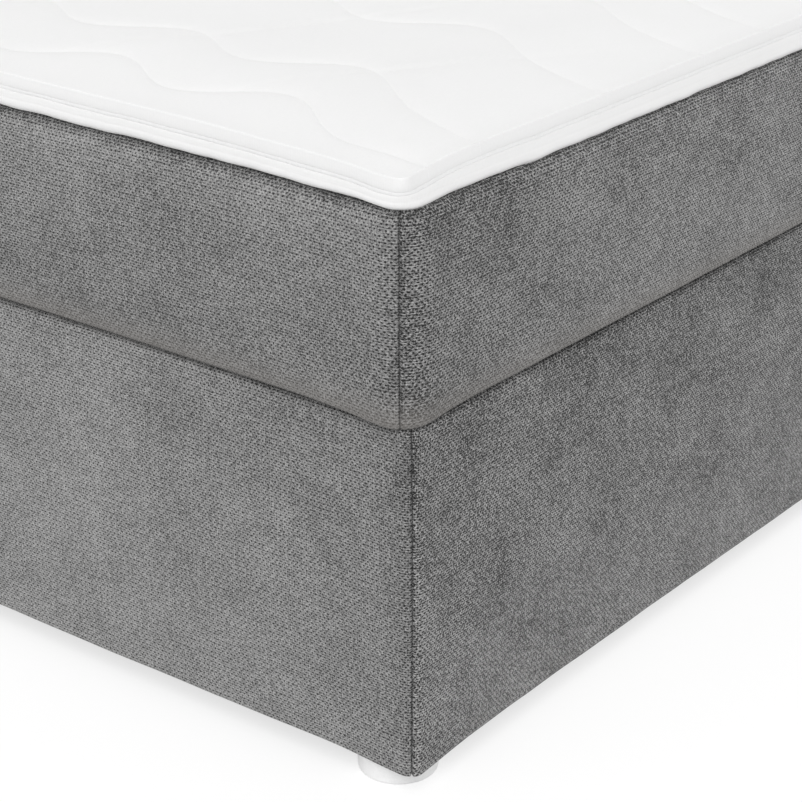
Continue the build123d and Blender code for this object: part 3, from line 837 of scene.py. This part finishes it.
# %% The tray and the zip tape
OUTLINE_POINTS = 1180
LOWER_STRIP = (
    (0.55, 16.4), (0.25, 16.0), (0.05, 15.4), (-0.05, 14.6), (-0.1, 13.2), (0.0, 11.6), (0.1, 10.7),
    (0.25, 10.1), (0.12, 9.5), (0.0, 8.8), (-0.05, 7.8), (0.1, 6.3), (0.6, 4.7), (1.5, 3.1), (2.8, 1.7),
    (4.3, 0.7), (6.3, 0.0),
)
ZIP_SECTION = (
    (3.8, 3.5), (0.2, 3.5), (0.12, 3.2), (0.1, 2.7), (0.05, 1.75), (0.2, 0.7), (0.4, 0.25),
    (0.65, 0.0), (3.8, 0.0),
)
TRAY_FLOOR = 2 * MM


def outline_place(share, half, radius):
    """Place on a rectangle with round corners, by the share of its whole length."""
    quarter = [2 * (half.x - radius), radius * math.pi / 2, 2 * (half.y - radius), radius * math.pi / 2]
    left = share * 2 * sum(quarter)
    side = 0
    while left > quarter[side % 4]:
        left -= quarter[side % 4]
        side += 1
    centre = Vector((half.x - radius, half.y - radius))
    if side % 4 in (0, 2):
        first, second = (centre.x, half.y) if side % 4 == 0 else (centre.y, half.x)
        spot = Vector((left - first, -second)) if side % 4 == 0 else Vector((second, left - first))
    else:
        angle = left / radius + (-math.pi / 2 if side % 4 == 1 else 0)
        middle = Vector((centre.x, -centre.y)) if side % 4 == 1 else centre
        spot = middle + radius * Vector((math.cos(angle), math.sin(angle)))
    return Vector((*(spot if side < 4 else -spot), 0))


def ring_on_outline(bm, home, start):
    """A ring of points on the topper's outline, each with its home."""
    bmesh.ops.create_circle(bm, segments=OUTLINE_POINTS, radius=1)
    for i, vert in enumerate(bm.verts):
        vert[home] = outline_place(i / OUTLINE_POINTS, topper_half, TOPPER_CORNER)
        vert.co = start(vert[home])


def tray_floor(home, level, inset):
    """A point of the tray's underside, this far in, flat but for the corners."""
    out = turned(home.x, home.y, topper_half, TOPPER_CORNER)
    return Vector((home.x, home.y, topper_bottom + level)) - out * inset + askew(home.x, home.y, TOPPER_SKEW)


def lower_cover():
    bm = bmesh.new()
    home = bm.verts.layers.float_vector.new("home")
    ring_on_outline(bm, home, lambda at: tray_floor(at, TRAY_FLOOR, COVER_WALL))
    inner = list(bm.edges)
    bmesh.ops.holes_fill(bm, edges=inner)
    edge = grow(bm, inner, home, lambda at: shifted_border(at, COVER_WALL, zip_low))
    for inset, height in LOWER_STRIP:
        edge = grow(bm, edge, home, lambda at: shifted_border(at, inset * MM, height * MM))
    for inset in (10, 18):
        edge = grow(bm, edge, home, lambda at: tray_floor(at, 0, inset * MM))
    bmesh.ops.holes_fill(bm, edges=edge)
    bm.verts.layers.float_vector.remove(home)
    return make_piece("topper_tray", bm, "topper", "topper_quilt", "topper_cover_lower")


def zip_ring():
    bm = bmesh.new()
    home = bm.verts.layers.float_vector.new("home")
    inset, height = ZIP_SECTION[0]
    ring_on_outline(bm, home, lambda at: shifted_border(at, inset * MM, zip_low + height * MM))
    first = edge = list(bm.edges)
    for inset, height in ZIP_SECTION[1:]:
        edge = grow(bm, edge, home, lambda at: shifted_border(at, inset * MM, zip_low + height * MM))
    bmesh.ops.bridge_loops(bm, edges=first + edge)
    bm.verts.layers.float_vector.remove(home)
    return make_piece("zip_tape_and_coil", bm, "topper", "zip_tape", "topper_zip_tape")


tray = lower_cover()
zip_tape = zip_ring()
print("zip tape lowest mm", round(min(vert.co.z for vert in zip_tape.data.vertices) / MM, 1))

# %% [markdown]
# ## Covers of the sides
#
# Box and mattress each have four side panels that meet in a seam down every
# corner. A panel is a grid wrapped onto its section: a hem underneath, a
# round edge, a side that swells, another edge and a hem on top. Along its
# length it runs round half of each corner. The thread at the corners pulls
# the cloth in and puckers it, and the filling behind makes the face wander
# by a millimetre or so, which is what tells cloth from board in raking light.
#
# Wear shows as well. The lower edge sags and slumps at the corners. Light and
# shade are also painted into the cloth: it is paler or darker from the top to
# the bottom, darker beside the seams, near the corners and under the upper
# edge, where shade falls, and paler and warmer along the mattress's lower edge,
# where the floor lights it. At the corner nearest the camera the seams lean a
# little, and the mattress's seam has slipped round towards the long side.

# %% Section of a side
PANEL_STEP = 8 * MM


class Section:
    """Section of a side cover: where it is at each step, and which way is out."""

    def __init__(self, low, high, bulge, low_edge, high_edge, hem, step):
        self.low, self.high, self.bulge, self.hem = low, high, bulge, hem
        self.edges = low_edge, high_edge
        quarter = math.pi / 2
        side = high - low - low_edge - high_edge
        self.lengths = (
            hem - bulge - low_edge, low_edge * quarter, side, high_edge * quarter, hem - bulge - high_edge
        )
        self.stops = [0.0]
        for length, count in zip(self.lengths, (2, 7, round(side / step), 7, 2)):
            start = self.stops[-1]
            self.stops += [start + length * (i + 1) / count for i in range(count)]
        self.whole = self.stops[-1]

    def at(self, run):
        """Depth behind the bed's side, height, and the outward direction in section."""
        for part, length in enumerate(self.lengths):
            if run <= length or part == 4:
                break
            run -= length
        if part == 2:
            share = 2 * run / length - 1
            return self.bulge * share * share, self.low + self.edges[0] + run, (1.0, 0.0)
        lower = part < 2
        edge = self.edges[0] if lower else self.edges[1]
        if part in (1, 3):
            turn = run / edge if lower else math.pi / 2 - run / edge
            depth, rise = self.bulge + edge * (1 - math.sin(turn)), edge * (1 - math.cos(turn))
            out = (math.sin(turn), math.cos(turn))
        else:
            depth, rise, out = self.hem - (run if lower else length - run), 0.0, (0.0, 1.0)
        return (depth, self.low + rise, (out[0], -out[1])) if lower else (depth, self.high - rise, out)

    def share(self, height):
        """A height as a share of the whole side, 0 at the bottom and 1 at the top."""
        return (height - self.low) / (self.high - self.low)


box_section = Section(box_bottom, box_top, 3 * MM, 4 * MM, 10 * MM, 20 * MM, PANEL_STEP)
mattress_section = Section(mattress_bottom, mattress_top, 4 * MM, 12 * MM, 19 * MM, 24 * MM, PANEL_STEP)
print("run over the section mm", round(box_section.whole / MM), round(mattress_section.whole / MM))

# %% How a side stands out
SEAM_PULL = 2.4 * MM
SEAM_PULL_WIDTH = 1.2 * MM
DEEPEST = 1.6 * MM
BODY_SWELL = 1.3 * MM
PROUD_RUN = 0.03
WIDE_SWELL, WIDE_SIZE = 1.0 * MM, 0.17
FINE_SWELL, FINE_SIZE = 0.5 * MM, 0.055
PUCKER = 0.25 * MM
PUCKER_STEP = 0.014
PUCKER_PLACE, PUCKER_WIDTH = 0.005, 0.006
HEM_STILL = 0.012
HEM_SWELL = 0.1 * MM
SAG_DEPTH = 10 * MM
SAG_RISE = 0.07
SLUMP_REACH = 0.06
SINK_REACH = 0.05


def swelling(x, y, height, climb, from_seam, from_hem, seed, proud):
    """How far the filling and the thread move a place out from the plain section."""
    swell = BODY_SWELL + proud * ease(from_hem / PROUD_RUN)
    swell += WIDE_SWELL * uneven(x + seed, y, height * 1.4, WIDE_SIZE)
    swell += FINE_SWELL * uneven(x - seed, y, height, FINE_SIZE)
    beat = math.cos(math.tau * climb / PUCKER_STEP + 2.5 * uneven(seed, climb, 0.3, 0.05))
    swell += PUCKER * beat * bump(from_seam - PUCKER_PLACE, PUCKER_WIDTH)
    swell -= SEAM_PULL * bump(from_seam, SEAM_PULL_WIDTH)
    return max(swell, -DEEPEST) * ease(from_hem / HEM_STILL)


def sunk(height, depth, from_seam, section, wear_and_shade):
    """Height of a place once its lower edge has sagged and its corner has sunk."""
    low_share = 1 - ease((height - section.low) / SAG_RISE)
    slump = wear_and_shade["sag"] + wear_and_shade["slump"] * bump(from_seam, SLUMP_REACH)
    height -= slump * low_share * ease((SAG_DEPTH - depth) / SAG_DEPTH)
    return height - wear_and_shade["sink"] * bump(from_seam, SINK_REACH) * ease(section.share(height))


print("face swells up to mm", round((BODY_SWELL + WIDE_SWELL + FINE_SWELL + PUCKER) / MM, 2))

# %% Painted shade on a side
# Reach of the painted shade beside the seams and near the corners.
SEAM_SHADE_REACH = 0.035
CORNER_SHADE_REACH = 0.20
# Darkening at the seam: a thin dark line of the seam itself, and a wider band of painted shade beside it.
STITCH_SHADES = ((0.5, 0.0009), (0.25, 0.009))
# Painted shadow below the mattress's upper edge, where the topper overhangs it.
UNDER_TOP_SHADOW = 5 * MM
# Height of the band of painted floor light along the mattress's lower edge.
FLOOR_LIGHT_RISE = 0.020


def painted_shade_at_height(levels, share):
    """Painted shade at a share of the height, from its values at five even heights."""
    place = share * (len(levels) - 1)
    index = min(int(place), len(levels) - 2)
    return levels[index] + (levels[index + 1] - levels[index]) * (place - index)


def painted_shade_at(share, below_top, from_seam, wear_and_shade, kind):
    """Painted shade and light at a place: by height, beside the seams, near the corners and under the upper
    edge; the greater, the darker.
    """
    painted_shade_amount = painted_shade_at_height(wear_and_shade["painted_shade_by_height"][kind], share)
    painted_shade_amount += wear_and_shade["seam_shade"][kind] * bump(from_seam, SEAM_SHADE_REACH)
    painted_shade_amount += wear_and_shade["corner_shade"][kind] * bump(from_seam, CORNER_SHADE_REACH)
    painted_shade_amount += sum(shade * bump(from_seam, reach) for shade, reach in STITCH_SHADES)
    return painted_shade_amount + wear_and_shade["painted_shadow_under_top"][kind] * bump(below_top - UNDER_TOP_SHADOW, UNDER_TOP_SHADOW)


print("shade at the thread", sum(shade for shade, _ in STITCH_SHADES))

# %% A side cover
NEAR_SEAM = (0.0, 0.0007, 0.0015, 0.0024, 0.0036, 0.0055, 0.008, 0.0115, 0.016)
SIDES = {
    "right": (Vector((1, 0)), Vector((0, 1))),
    "head": (Vector((0, 1)), Vector((-1, 0))),
    "left": (Vector((-1, 0)), Vector((0, -1))),
    "foot": (Vector((0, -1)), Vector((1, 0))),
}


def panel_runs(length):
    """Places along a panel, crowded beside the seams at its ends."""
    spare = length - 2 * NEAR_SEAM[-1]
    count = round(spare / PANEL_STEP)
    middle = [NEAR_SEAM[-1] + spare * i / count for i in range(1, count)]
    return list(NEAR_SEAM) + middle + [length - n for n in reversed(NEAR_SEAM)]


def side_cover(name, side, section, radius, body, seed, wear_and_shade):
    """Cover of one side, riding on a body in place of the model's panel of that name."""
    outward, onward = SIDES[side]
    across = bed_half.x if abs(outward.x) > 0.5 else bed_half.y
    along = bed_half.y if abs(outward.x) > 0.5 else bed_half.x
    starts, ends = (math.radians(angle) for angle in wear_and_shade["seams"][side])
    kind = "side" if abs(outward.x) > 0.5 else "end"
    loose_start, loose_end = wear_and_shade["loose"][kind]
    straight = 2 * (along - radius)
    length = straight + radius * (starts + ends)
    runs = panel_runs(length)
    bm = bmesh.new()
    sheet = bm.loops.layers.uv.new("cloth")
    painted_shade = bm.verts.layers.float.new("painted_shade")
    loose = bm.verts.layers.float.new("loose")
    painted_floor_light = bm.verts.layers.float.new("painted_floor_light")
    wide, tall = len(runs) - 1, len(section.stops) - 1
    bmesh.ops.create_grid(bm, x_segments=wide, y_segments=tall, size=0.5)
    flat = {}
    for vert in bm.verts:
        run = runs[round((vert.co.x + 0.5) * wide)]
        climb = section.stops[round((vert.co.y + 0.5) * tall)]
        flat[vert] = (run, climb)
        depth, height, (side_out, up_out) = section.at(climb)
        past = run - radius * starts - straight / 2
        turn = math.copysign(max(abs(past) - straight / 2, 0) / radius, past)
        facing = outward * math.cos(turn) + onward * math.sin(turn)
        centre = outward * (across - radius) + onward * (math.copysign(min(abs(past), straight / 2), past))
        x, y = centre + facing * (radius - depth)
        from_seam, from_hem = min(run, length - run), min(climb, section.whole - climb)
        swell = swelling(x, y, height, climb, from_seam, from_hem, seed, wear_and_shade["proud"])
        depth -= side_out * swell
        height = sunk(height + up_out * min(swell, HEM_SWELL), depth, from_seam, section, wear_and_shade)
        spot = centre + facing * (radius - depth)
        share = min(max(section.share(height), 0), 1)
        skew = wear_and_shade["skew"][0].lerp(wear_and_shade["skew"][1], share)
        vert.co = Vector((spot.x, spot.y, height)) + askew(x, y, skew)
        # Painted shade and painted floor light on each point.
        vert[painted_shade] = painted_shade_at(share, section.high - height, from_seam, wear_and_shade, kind)
        vert[painted_floor_light] = wear_and_shade["painted_floor_light"] * bump(height - section.low, FLOOR_LIGHT_RISE)
        vert[loose] = loose_start + (loose_end - loose_start) * run / length
    for face in bm.faces:
        for loop in face.loops:
            loop[sheet].uv = flat[loop.vert]
    return make_piece(name + "_cloth", bm, body, "grey_weave", name), (length, section.whole)


print("points along a metre of panel", len(panel_runs(1.0)))

# %% [markdown]
# ## How each cover is worn, with its painted shade
#
# One function makes all eight covers, and two tables say how they differ.
# The seams are given as the degrees of each round corner that a panel covers
# at its start and its end. Proud, sag, slump and sink are lengths. The skew
# has a value at the bottom and one at the top. The painted shade by height is
# given at five heights from the bottom up, paler below nought and darker above,
# once for the long sides and once for the ends, because the two catch the light
# from different sides. The other shade entries paint shade beside the seams,
# near the corners and under the upper edge, and the floor light paints the
# mattress's lower edge paler and warmer.

# %% Eight side covers
BOX_CORNER, MATTRESS_CORNER = 16 * MM, 30 * MM
COVER_CLOTH = 1.2 * MM
SEED_STEP = 3.7
EVEN = dict.fromkeys(SIDES, (45, 45))
# Seams, proud, sag, slump, sink, skew and loose are wear and fit; the shade entries and the floor light are
# painted light and shade.
BOX_WEAR_AND_SHADE = {
    "seams": EVEN, "proud": 0.0, "sag": 2.5 * MM, "slump": 5.5 * MM, "sink": 0.0,
    "skew": (Vector((3, -3, 0)) * MM, Vector()),
    "painted_shade_by_height": {"side": (-0.45, -0.3, -0.25, -0.1, 0.0), "end": (-0.1, 0.2, 0.35, 0.5, 0.9)},
    "corner_shade": {"side": 0.42, "end": 0.0}, "painted_shadow_under_top": {"side": 0.0, "end": 0.0}, "painted_floor_light": 0.0,
    "loose": {"side": (0.0, 0.0), "end": (0.8, 0.95)}, "seam_shade": {"side": 0.35, "end": 0.0},
}
MATTRESS_WEAR_AND_SHADE = {
    "seams": {**EVEN, "left": (45, 35), "foot": (55, 45)},
    "proud": 6.0 * MM, "sag": 2.5 * MM, "slump": 6.0 * MM, "sink": 0.8 * MM,
    "skew": (MATTRESS_SKEW, MATTRESS_SKEW + Vector((-2, 2, 0)) * MM),
    "painted_shade_by_height": {"side": (0.3, 0.3, 0.2, 0.1, -0.25), "end": (0.0, 0.12, 0.12, 0.15, 0.5)},
    "corner_shade": {"side": 0.05, "end": 0.40}, "painted_shadow_under_top": {"side": 1.2, "end": 0.35}, "painted_floor_light": 1.0,
    "loose": {"side": (0.0, 0.0), "end": (0.35, 0.75)}, "seam_shade": {"side": 0.24, "end": 0.25},
}


def give_thickness(piece, thickness, outwards=False):
    """Makes a sheet a closed cloth of this thickness, grown inwards from its face or outwards."""
    wall = piece.modifiers.new("thickness", "SOLIDIFY")
    wall.thickness = thickness
    wall.offset = 1 if outwards else -1


for number, side in enumerate(SIDES):
    for part, section, corner, held_on, wear_and_shade in (
        ("box", box_section, BOX_CORNER, "box_wadding", BOX_WEAR_AND_SHADE),
        ("mattress", mattress_section, MATTRESS_CORNER, "mattress_edge_foam", MATTRESS_WEAR_AND_SHADE),
    ):
        name = part + "_panel_" + side
        piece, cut = side_cover(name, side, section, corner, part, number * SEED_STEP, wear_and_shade)
        give_thickness(piece, COVER_CLOTH)

# %% [markdown]
# ## Cloths that lie flat
#
# Four cloths close the box and the mattress above and below. They lie on
# foam or hang from staples, so they are nearly flat, and never quite: foam
# gives them a slow swell, and the dark dust cover sags between the rails. All
# come from one function: an even grid, its square corners drawn in to round
# ones, that lies still at its hem and swells or hangs inside it.

# %% A flat cloth
FLAT_STEPS = (56, 80)
FLAT_HEM = 0.03
FLAT_SWELL, FLAT_SWELL_SIZE = 0.9 * MM, 0.22
RAIL_STEP, FIRST_RAIL = 0.33, 0.1
DUST_SLACK, DUST_SAG = 0.6 * MM, 2.6 * MM
DUST_WANDER, DUST_SIZE = 1.2 * MM, 0.12
DUST_HEM_RUN = 0.12


def flat_cloth(name, body, slot, radius, droop, thickness, ups):
    """A cloth over a rectangle in place of a node: droop gives how far each place sinks."""
    low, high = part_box(name)
    half = Vector((high.x, high.y))
    level = high.z if ups else low.z
    bm = bmesh.new()
    sheet = bm.loops.layers.uv.new("cloth")
    bmesh.ops.create_grid(bm, x_segments=FLAT_STEPS[0], y_segments=FLAT_STEPS[1], size=0.5)
    for vert in bm.verts:
        x, y = vert.co.x * 2 * half.x, vert.co.y * 2 * half.y
        inside = min(half.x - abs(x), half.y - abs(y))
        x, y = rounded(x, y, half, radius)
        vert.co = Vector((x, y, level - droop(x, y, inside) * ease(inside / FLAT_HEM)))
    for face in bm.faces:
        for loop in face.loops:
            loop[sheet].uv = loop.vert.co.xy
    piece = make_piece(name + "_cloth", bm, body, slot, name)
    give_thickness(piece, thickness, outwards=not ups)
    return piece, (2 * half.x, 2 * half.y)


def soft_swell(x, y, inside):
    return (0.5 + 0.5 * uneven(x, y, 4.4, FLAT_SWELL_SIZE)) * FLAT_SWELL


def under_swell(x, y, inside):
    return -soft_swell(x, y, inside)


def sagging(x, y, inside):
    """The dust cover hangs a little between what it is stapled to."""
    between = abs(math.sin(math.pi * (y - FIRST_RAIL) / RAIL_STEP))
    hang = DUST_SLACK + DUST_SAG * between + DUST_WANDER * uneven(x, y, 8.8, DUST_SIZE)
    return hang * ease((inside - FLAT_HEM) / DUST_HEM_RUN)


print("dust cover hangs mm", [round(sagging(0.0, y, 0.3) / MM, 1) for y in (0.0, 0.1, 0.265)])

# %% The four flat cloths
flat_cloths = (
    ("box_platform", "box", "platform_fabric", 6 * MM, soft_swell, COVER_CLOTH, True, "box_top_foam"),
    ("dust_cover", "box", "dust_cover", 6 * MM, sagging, MM, False, "frame_rail_left"),
    (
        "mattress_bottom", "mattress", "platform_fabric", 10 * MM, under_swell, COVER_CLOTH, False,
        "mattress_comfort_lower",
    ),
    (
        "mattress_top", "mattress", "mattress_knit", 10 * MM, soft_swell, COVER_CLOTH, True,
        "mattress_comfort_upper",
    ),
)
for name, body, slot, radius, droop, thickness, ups, held_on in flat_cloths:
    piece, cut = flat_cloth(name, body, slot, radius, droop, thickness, ups)

# %% [markdown]
# ## Feet
#
# The feet are short white mouldings. Each one is turned: a section swept
# once round its axis, with enough steps that the rim stays round in a close
# view. A spin is the natural tool, because the real foot is a turned shape.

# %% Turned feet
FOOT_STEPS = 96


def turned_foot(name):
    low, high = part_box(name)
    x, y, reach = (low.x + high.x) / 2, (low.y + high.y) / 2, (high.x - low.x) / 2
    tall = high.z - low.z
    section = (
        (0.0, 9 * MM), (10 * MM, 9 * MM), (10 * MM, 0.6 * MM), (10.6 * MM, 0.0), (reach - 5.2 * MM, 0.0),
        (reach - 3.4 * MM, 0.5 * MM), (reach - 2.3 * MM, 1.7 * MM), (reach - 2.0 * MM, 3.4 * MM),
        (reach - 0.5 * MM, tall - 2.2 * MM), (reach - 0.1 * MM, tall - 1.2 * MM),
        (reach - 0.4 * MM, tall - 0.4 * MM), (reach - 1.2 * MM, tall), (0.0, tall),
    )
    bm = bmesh.new()
    line = [bm.verts.new((x + r, y, z)) for r, z in section]
    edges = [bm.edges.new(pair) for pair in zip(line, line[1:])]
    bmesh.ops.spin(
        bm, geom=line + edges, cent=(x, y, 0), axis=(0, 0, 1),
        angle=math.tau, steps=FOOT_STEPS, use_merge=True,
    )
    bmesh.ops.remove_doubles(bm, verts=bm.verts, dist=0.01 * MM)
    foot = make_piece(name + "_moulding", bm, "box", "foot_white", name)
    foot.data.set_sharp_from_angle(angle=math.radians(35))


slot_of = {part["node"]: part["material_slot"] for part in frame["record"]["subparts"]}
feet = sorted(node_name for node_name in slot_of if slot_of[node_name] == "foot_white")
for node_name in feet:
    turned_foot(node_name)
print("feet", len(feet))

# %% [markdown]
# ## Every piece gets its finish
#
# The record names a finish for each piece. The pieces made here and those
# that came with the model are dressed the same way, from that one list.

# %% Dress all pieces
def dress(thing, slot):
    """Gives an object one of the finishes."""
    thing.data.materials.clear()
    thing.data.materials.append(finishes[slot])


for node_name, thing in frame["nodes"].items():
    dress(thing, slot_of[node_name])
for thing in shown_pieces():
    if "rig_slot" in thing.keys():
        dress(thing, thing["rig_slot"])
quilted_top.data.materials.append(border_knit_painted_paler)
tray.data.materials[0] = border_knit_painted_paler

# %% [markdown]
# ## Floor
#
# The photograph has a white sweep that fades into the background. A wide
# pale floor takes the bed's shadow and throws light back under it. A Light
# Path node tells what the camera sees from what only lights the bed, so the
# floor can look brighter and flatter than it is. It reaches white with a
# faint shadow, without more light on the bed.

# %% A floor that reaches white
FLOOR_HALF = 40.0
FLOOR_TONE = 0.80
SEEN_TONE = 0.37
WHITE_LIFT = 0.69


def looked_at(tree):
    """1 for what the camera sees straight, mirrored or through glass, and 0 for all other light."""
    path = tree.nodes.new("ShaderNodeLightPath")
    rays = [Field(tree, path.outputs["Is " + kind + " Ray"]) for kind in ("Camera", "Glossy", "Transmission")]
    return (rays[0] + rays[1] + rays[2]).clamp()


def pale_floor():
    bm = bmesh.new()
    bmesh.ops.create_grid(bm, x_segments=4, y_segments=4, size=FLOOR_HALF)
    mesh = bpy.data.meshes.new("floor")
    bm.to_mesh(mesh)
    bm.free()
    floor = bpy.data.objects.new("floor", mesh)
    bpy.context.scene.collection.objects.link(floor)
    paint = Finish("pale_floor", Roughness=0.9, Emission_Strength=1.0)
    paint.feed(Specular_IOR_Level=0.1)
    direct = looked_at(paint.tree)
    paint.feed(Base_Color=paint.tint(direct, grey(FLOOR_TONE), grey(SEEN_TONE)))
    paint.feed(Emission_Color=paint.tint(direct, grey(0.0), grey(WHITE_LIFT)))
    mesh.materials.append(paint.material)


pale_floor()
print("floor metres", 2 * FLOOR_HALF)

# %% [markdown]
# ## Light
#
# The bed is lit by a bright room and by one very broad light from the upper
# left, so soft that only the contact with the floor is dark. The room is the
# world's even grey. The broad light is a sun whose disc is wide, because a
# sun lights both ends of so long an object alike. What the camera sees
# behind the bed is white.

# %% Light
SKY = 0.64
SUN = 1.48
SUN_SPREAD = math.radians(35)
SUN_FROM = Vector((-0.57, -0.39, 0.725))


def light_the_scene():
    scene = bpy.context.scene
    world = bpy.data.worlds.new("white_room")
    scene.world = world
    world.use_nodes = True
    tree = world.node_tree
    back = tree.nodes["Background"]
    wire(tree, back.inputs["Strength"], SKY + (1.0 - SKY) * looked_at(tree))
    back.inputs["Color"].default_value = (1, 1, 1, 1)
    lamp = bpy.data.lights.new("broad_light", "SUN")
    lamp.energy = SUN
    lamp.angle = SUN_SPREAD
    sun = bpy.data.objects.new("broad_light", lamp)
    scene.collection.objects.link(sun)
    sun.rotation_euler = SUN_FROM.to_track_quat("Z", "Y").to_euler()
    scene.view_settings.view_transform = "Standard"


light_the_scene()
print("sun stands degrees above the floor", round(math.degrees(math.asin(SUN_FROM.normalized().z))))

# %% [markdown]
# ## Camera
#
# The camera stands in front of the corner at the left of the foot end and
# looks down on it. Its lens, place and turn were fitted so that the straight
# edges of box and mattress fall where they do in the photograph. The turn is
# built from three directions: ahead, to the right and up, with the last two
# rolled a little about the first.

# %% Camera
LENS = 108.2
SENSOR = 36
FAR = 200
EYE = Vector((-2.208, -2.127, 1.2205))
HEADING = math.radians(52.9)
PITCH = math.radians(23.43)
ROLL = math.radians(0.59)


def look():
    lens = bpy.data.cameras.new("camera")
    lens.lens = LENS
    lens.sensor_width = SENSOR
    lens.clip_end = FAR
    camera = bpy.data.objects.new("camera", lens)
    bpy.context.scene.collection.objects.link(camera)
    level = math.cos(PITCH)
    ahead = Vector((math.sin(HEADING) * level, math.cos(HEADING) * level, -math.sin(PITCH)))
    right = Vector((math.cos(HEADING), -math.sin(HEADING), 0))
    up = right.cross(ahead)
    tilted = right * math.cos(ROLL) + up * math.sin(ROLL)
    risen = up * math.cos(ROLL) - right * math.sin(ROLL)
    turn = Matrix((tilted, risen, -ahead)).transposed()
    camera.matrix_world = Matrix.Translation(EYE) @ turn.to_4x4()
    bpy.context.scene.camera = camera


look()
print("camera to the foot end's corner m", round((EYE - Vector((*-bed_half, box_top))).length, 2))
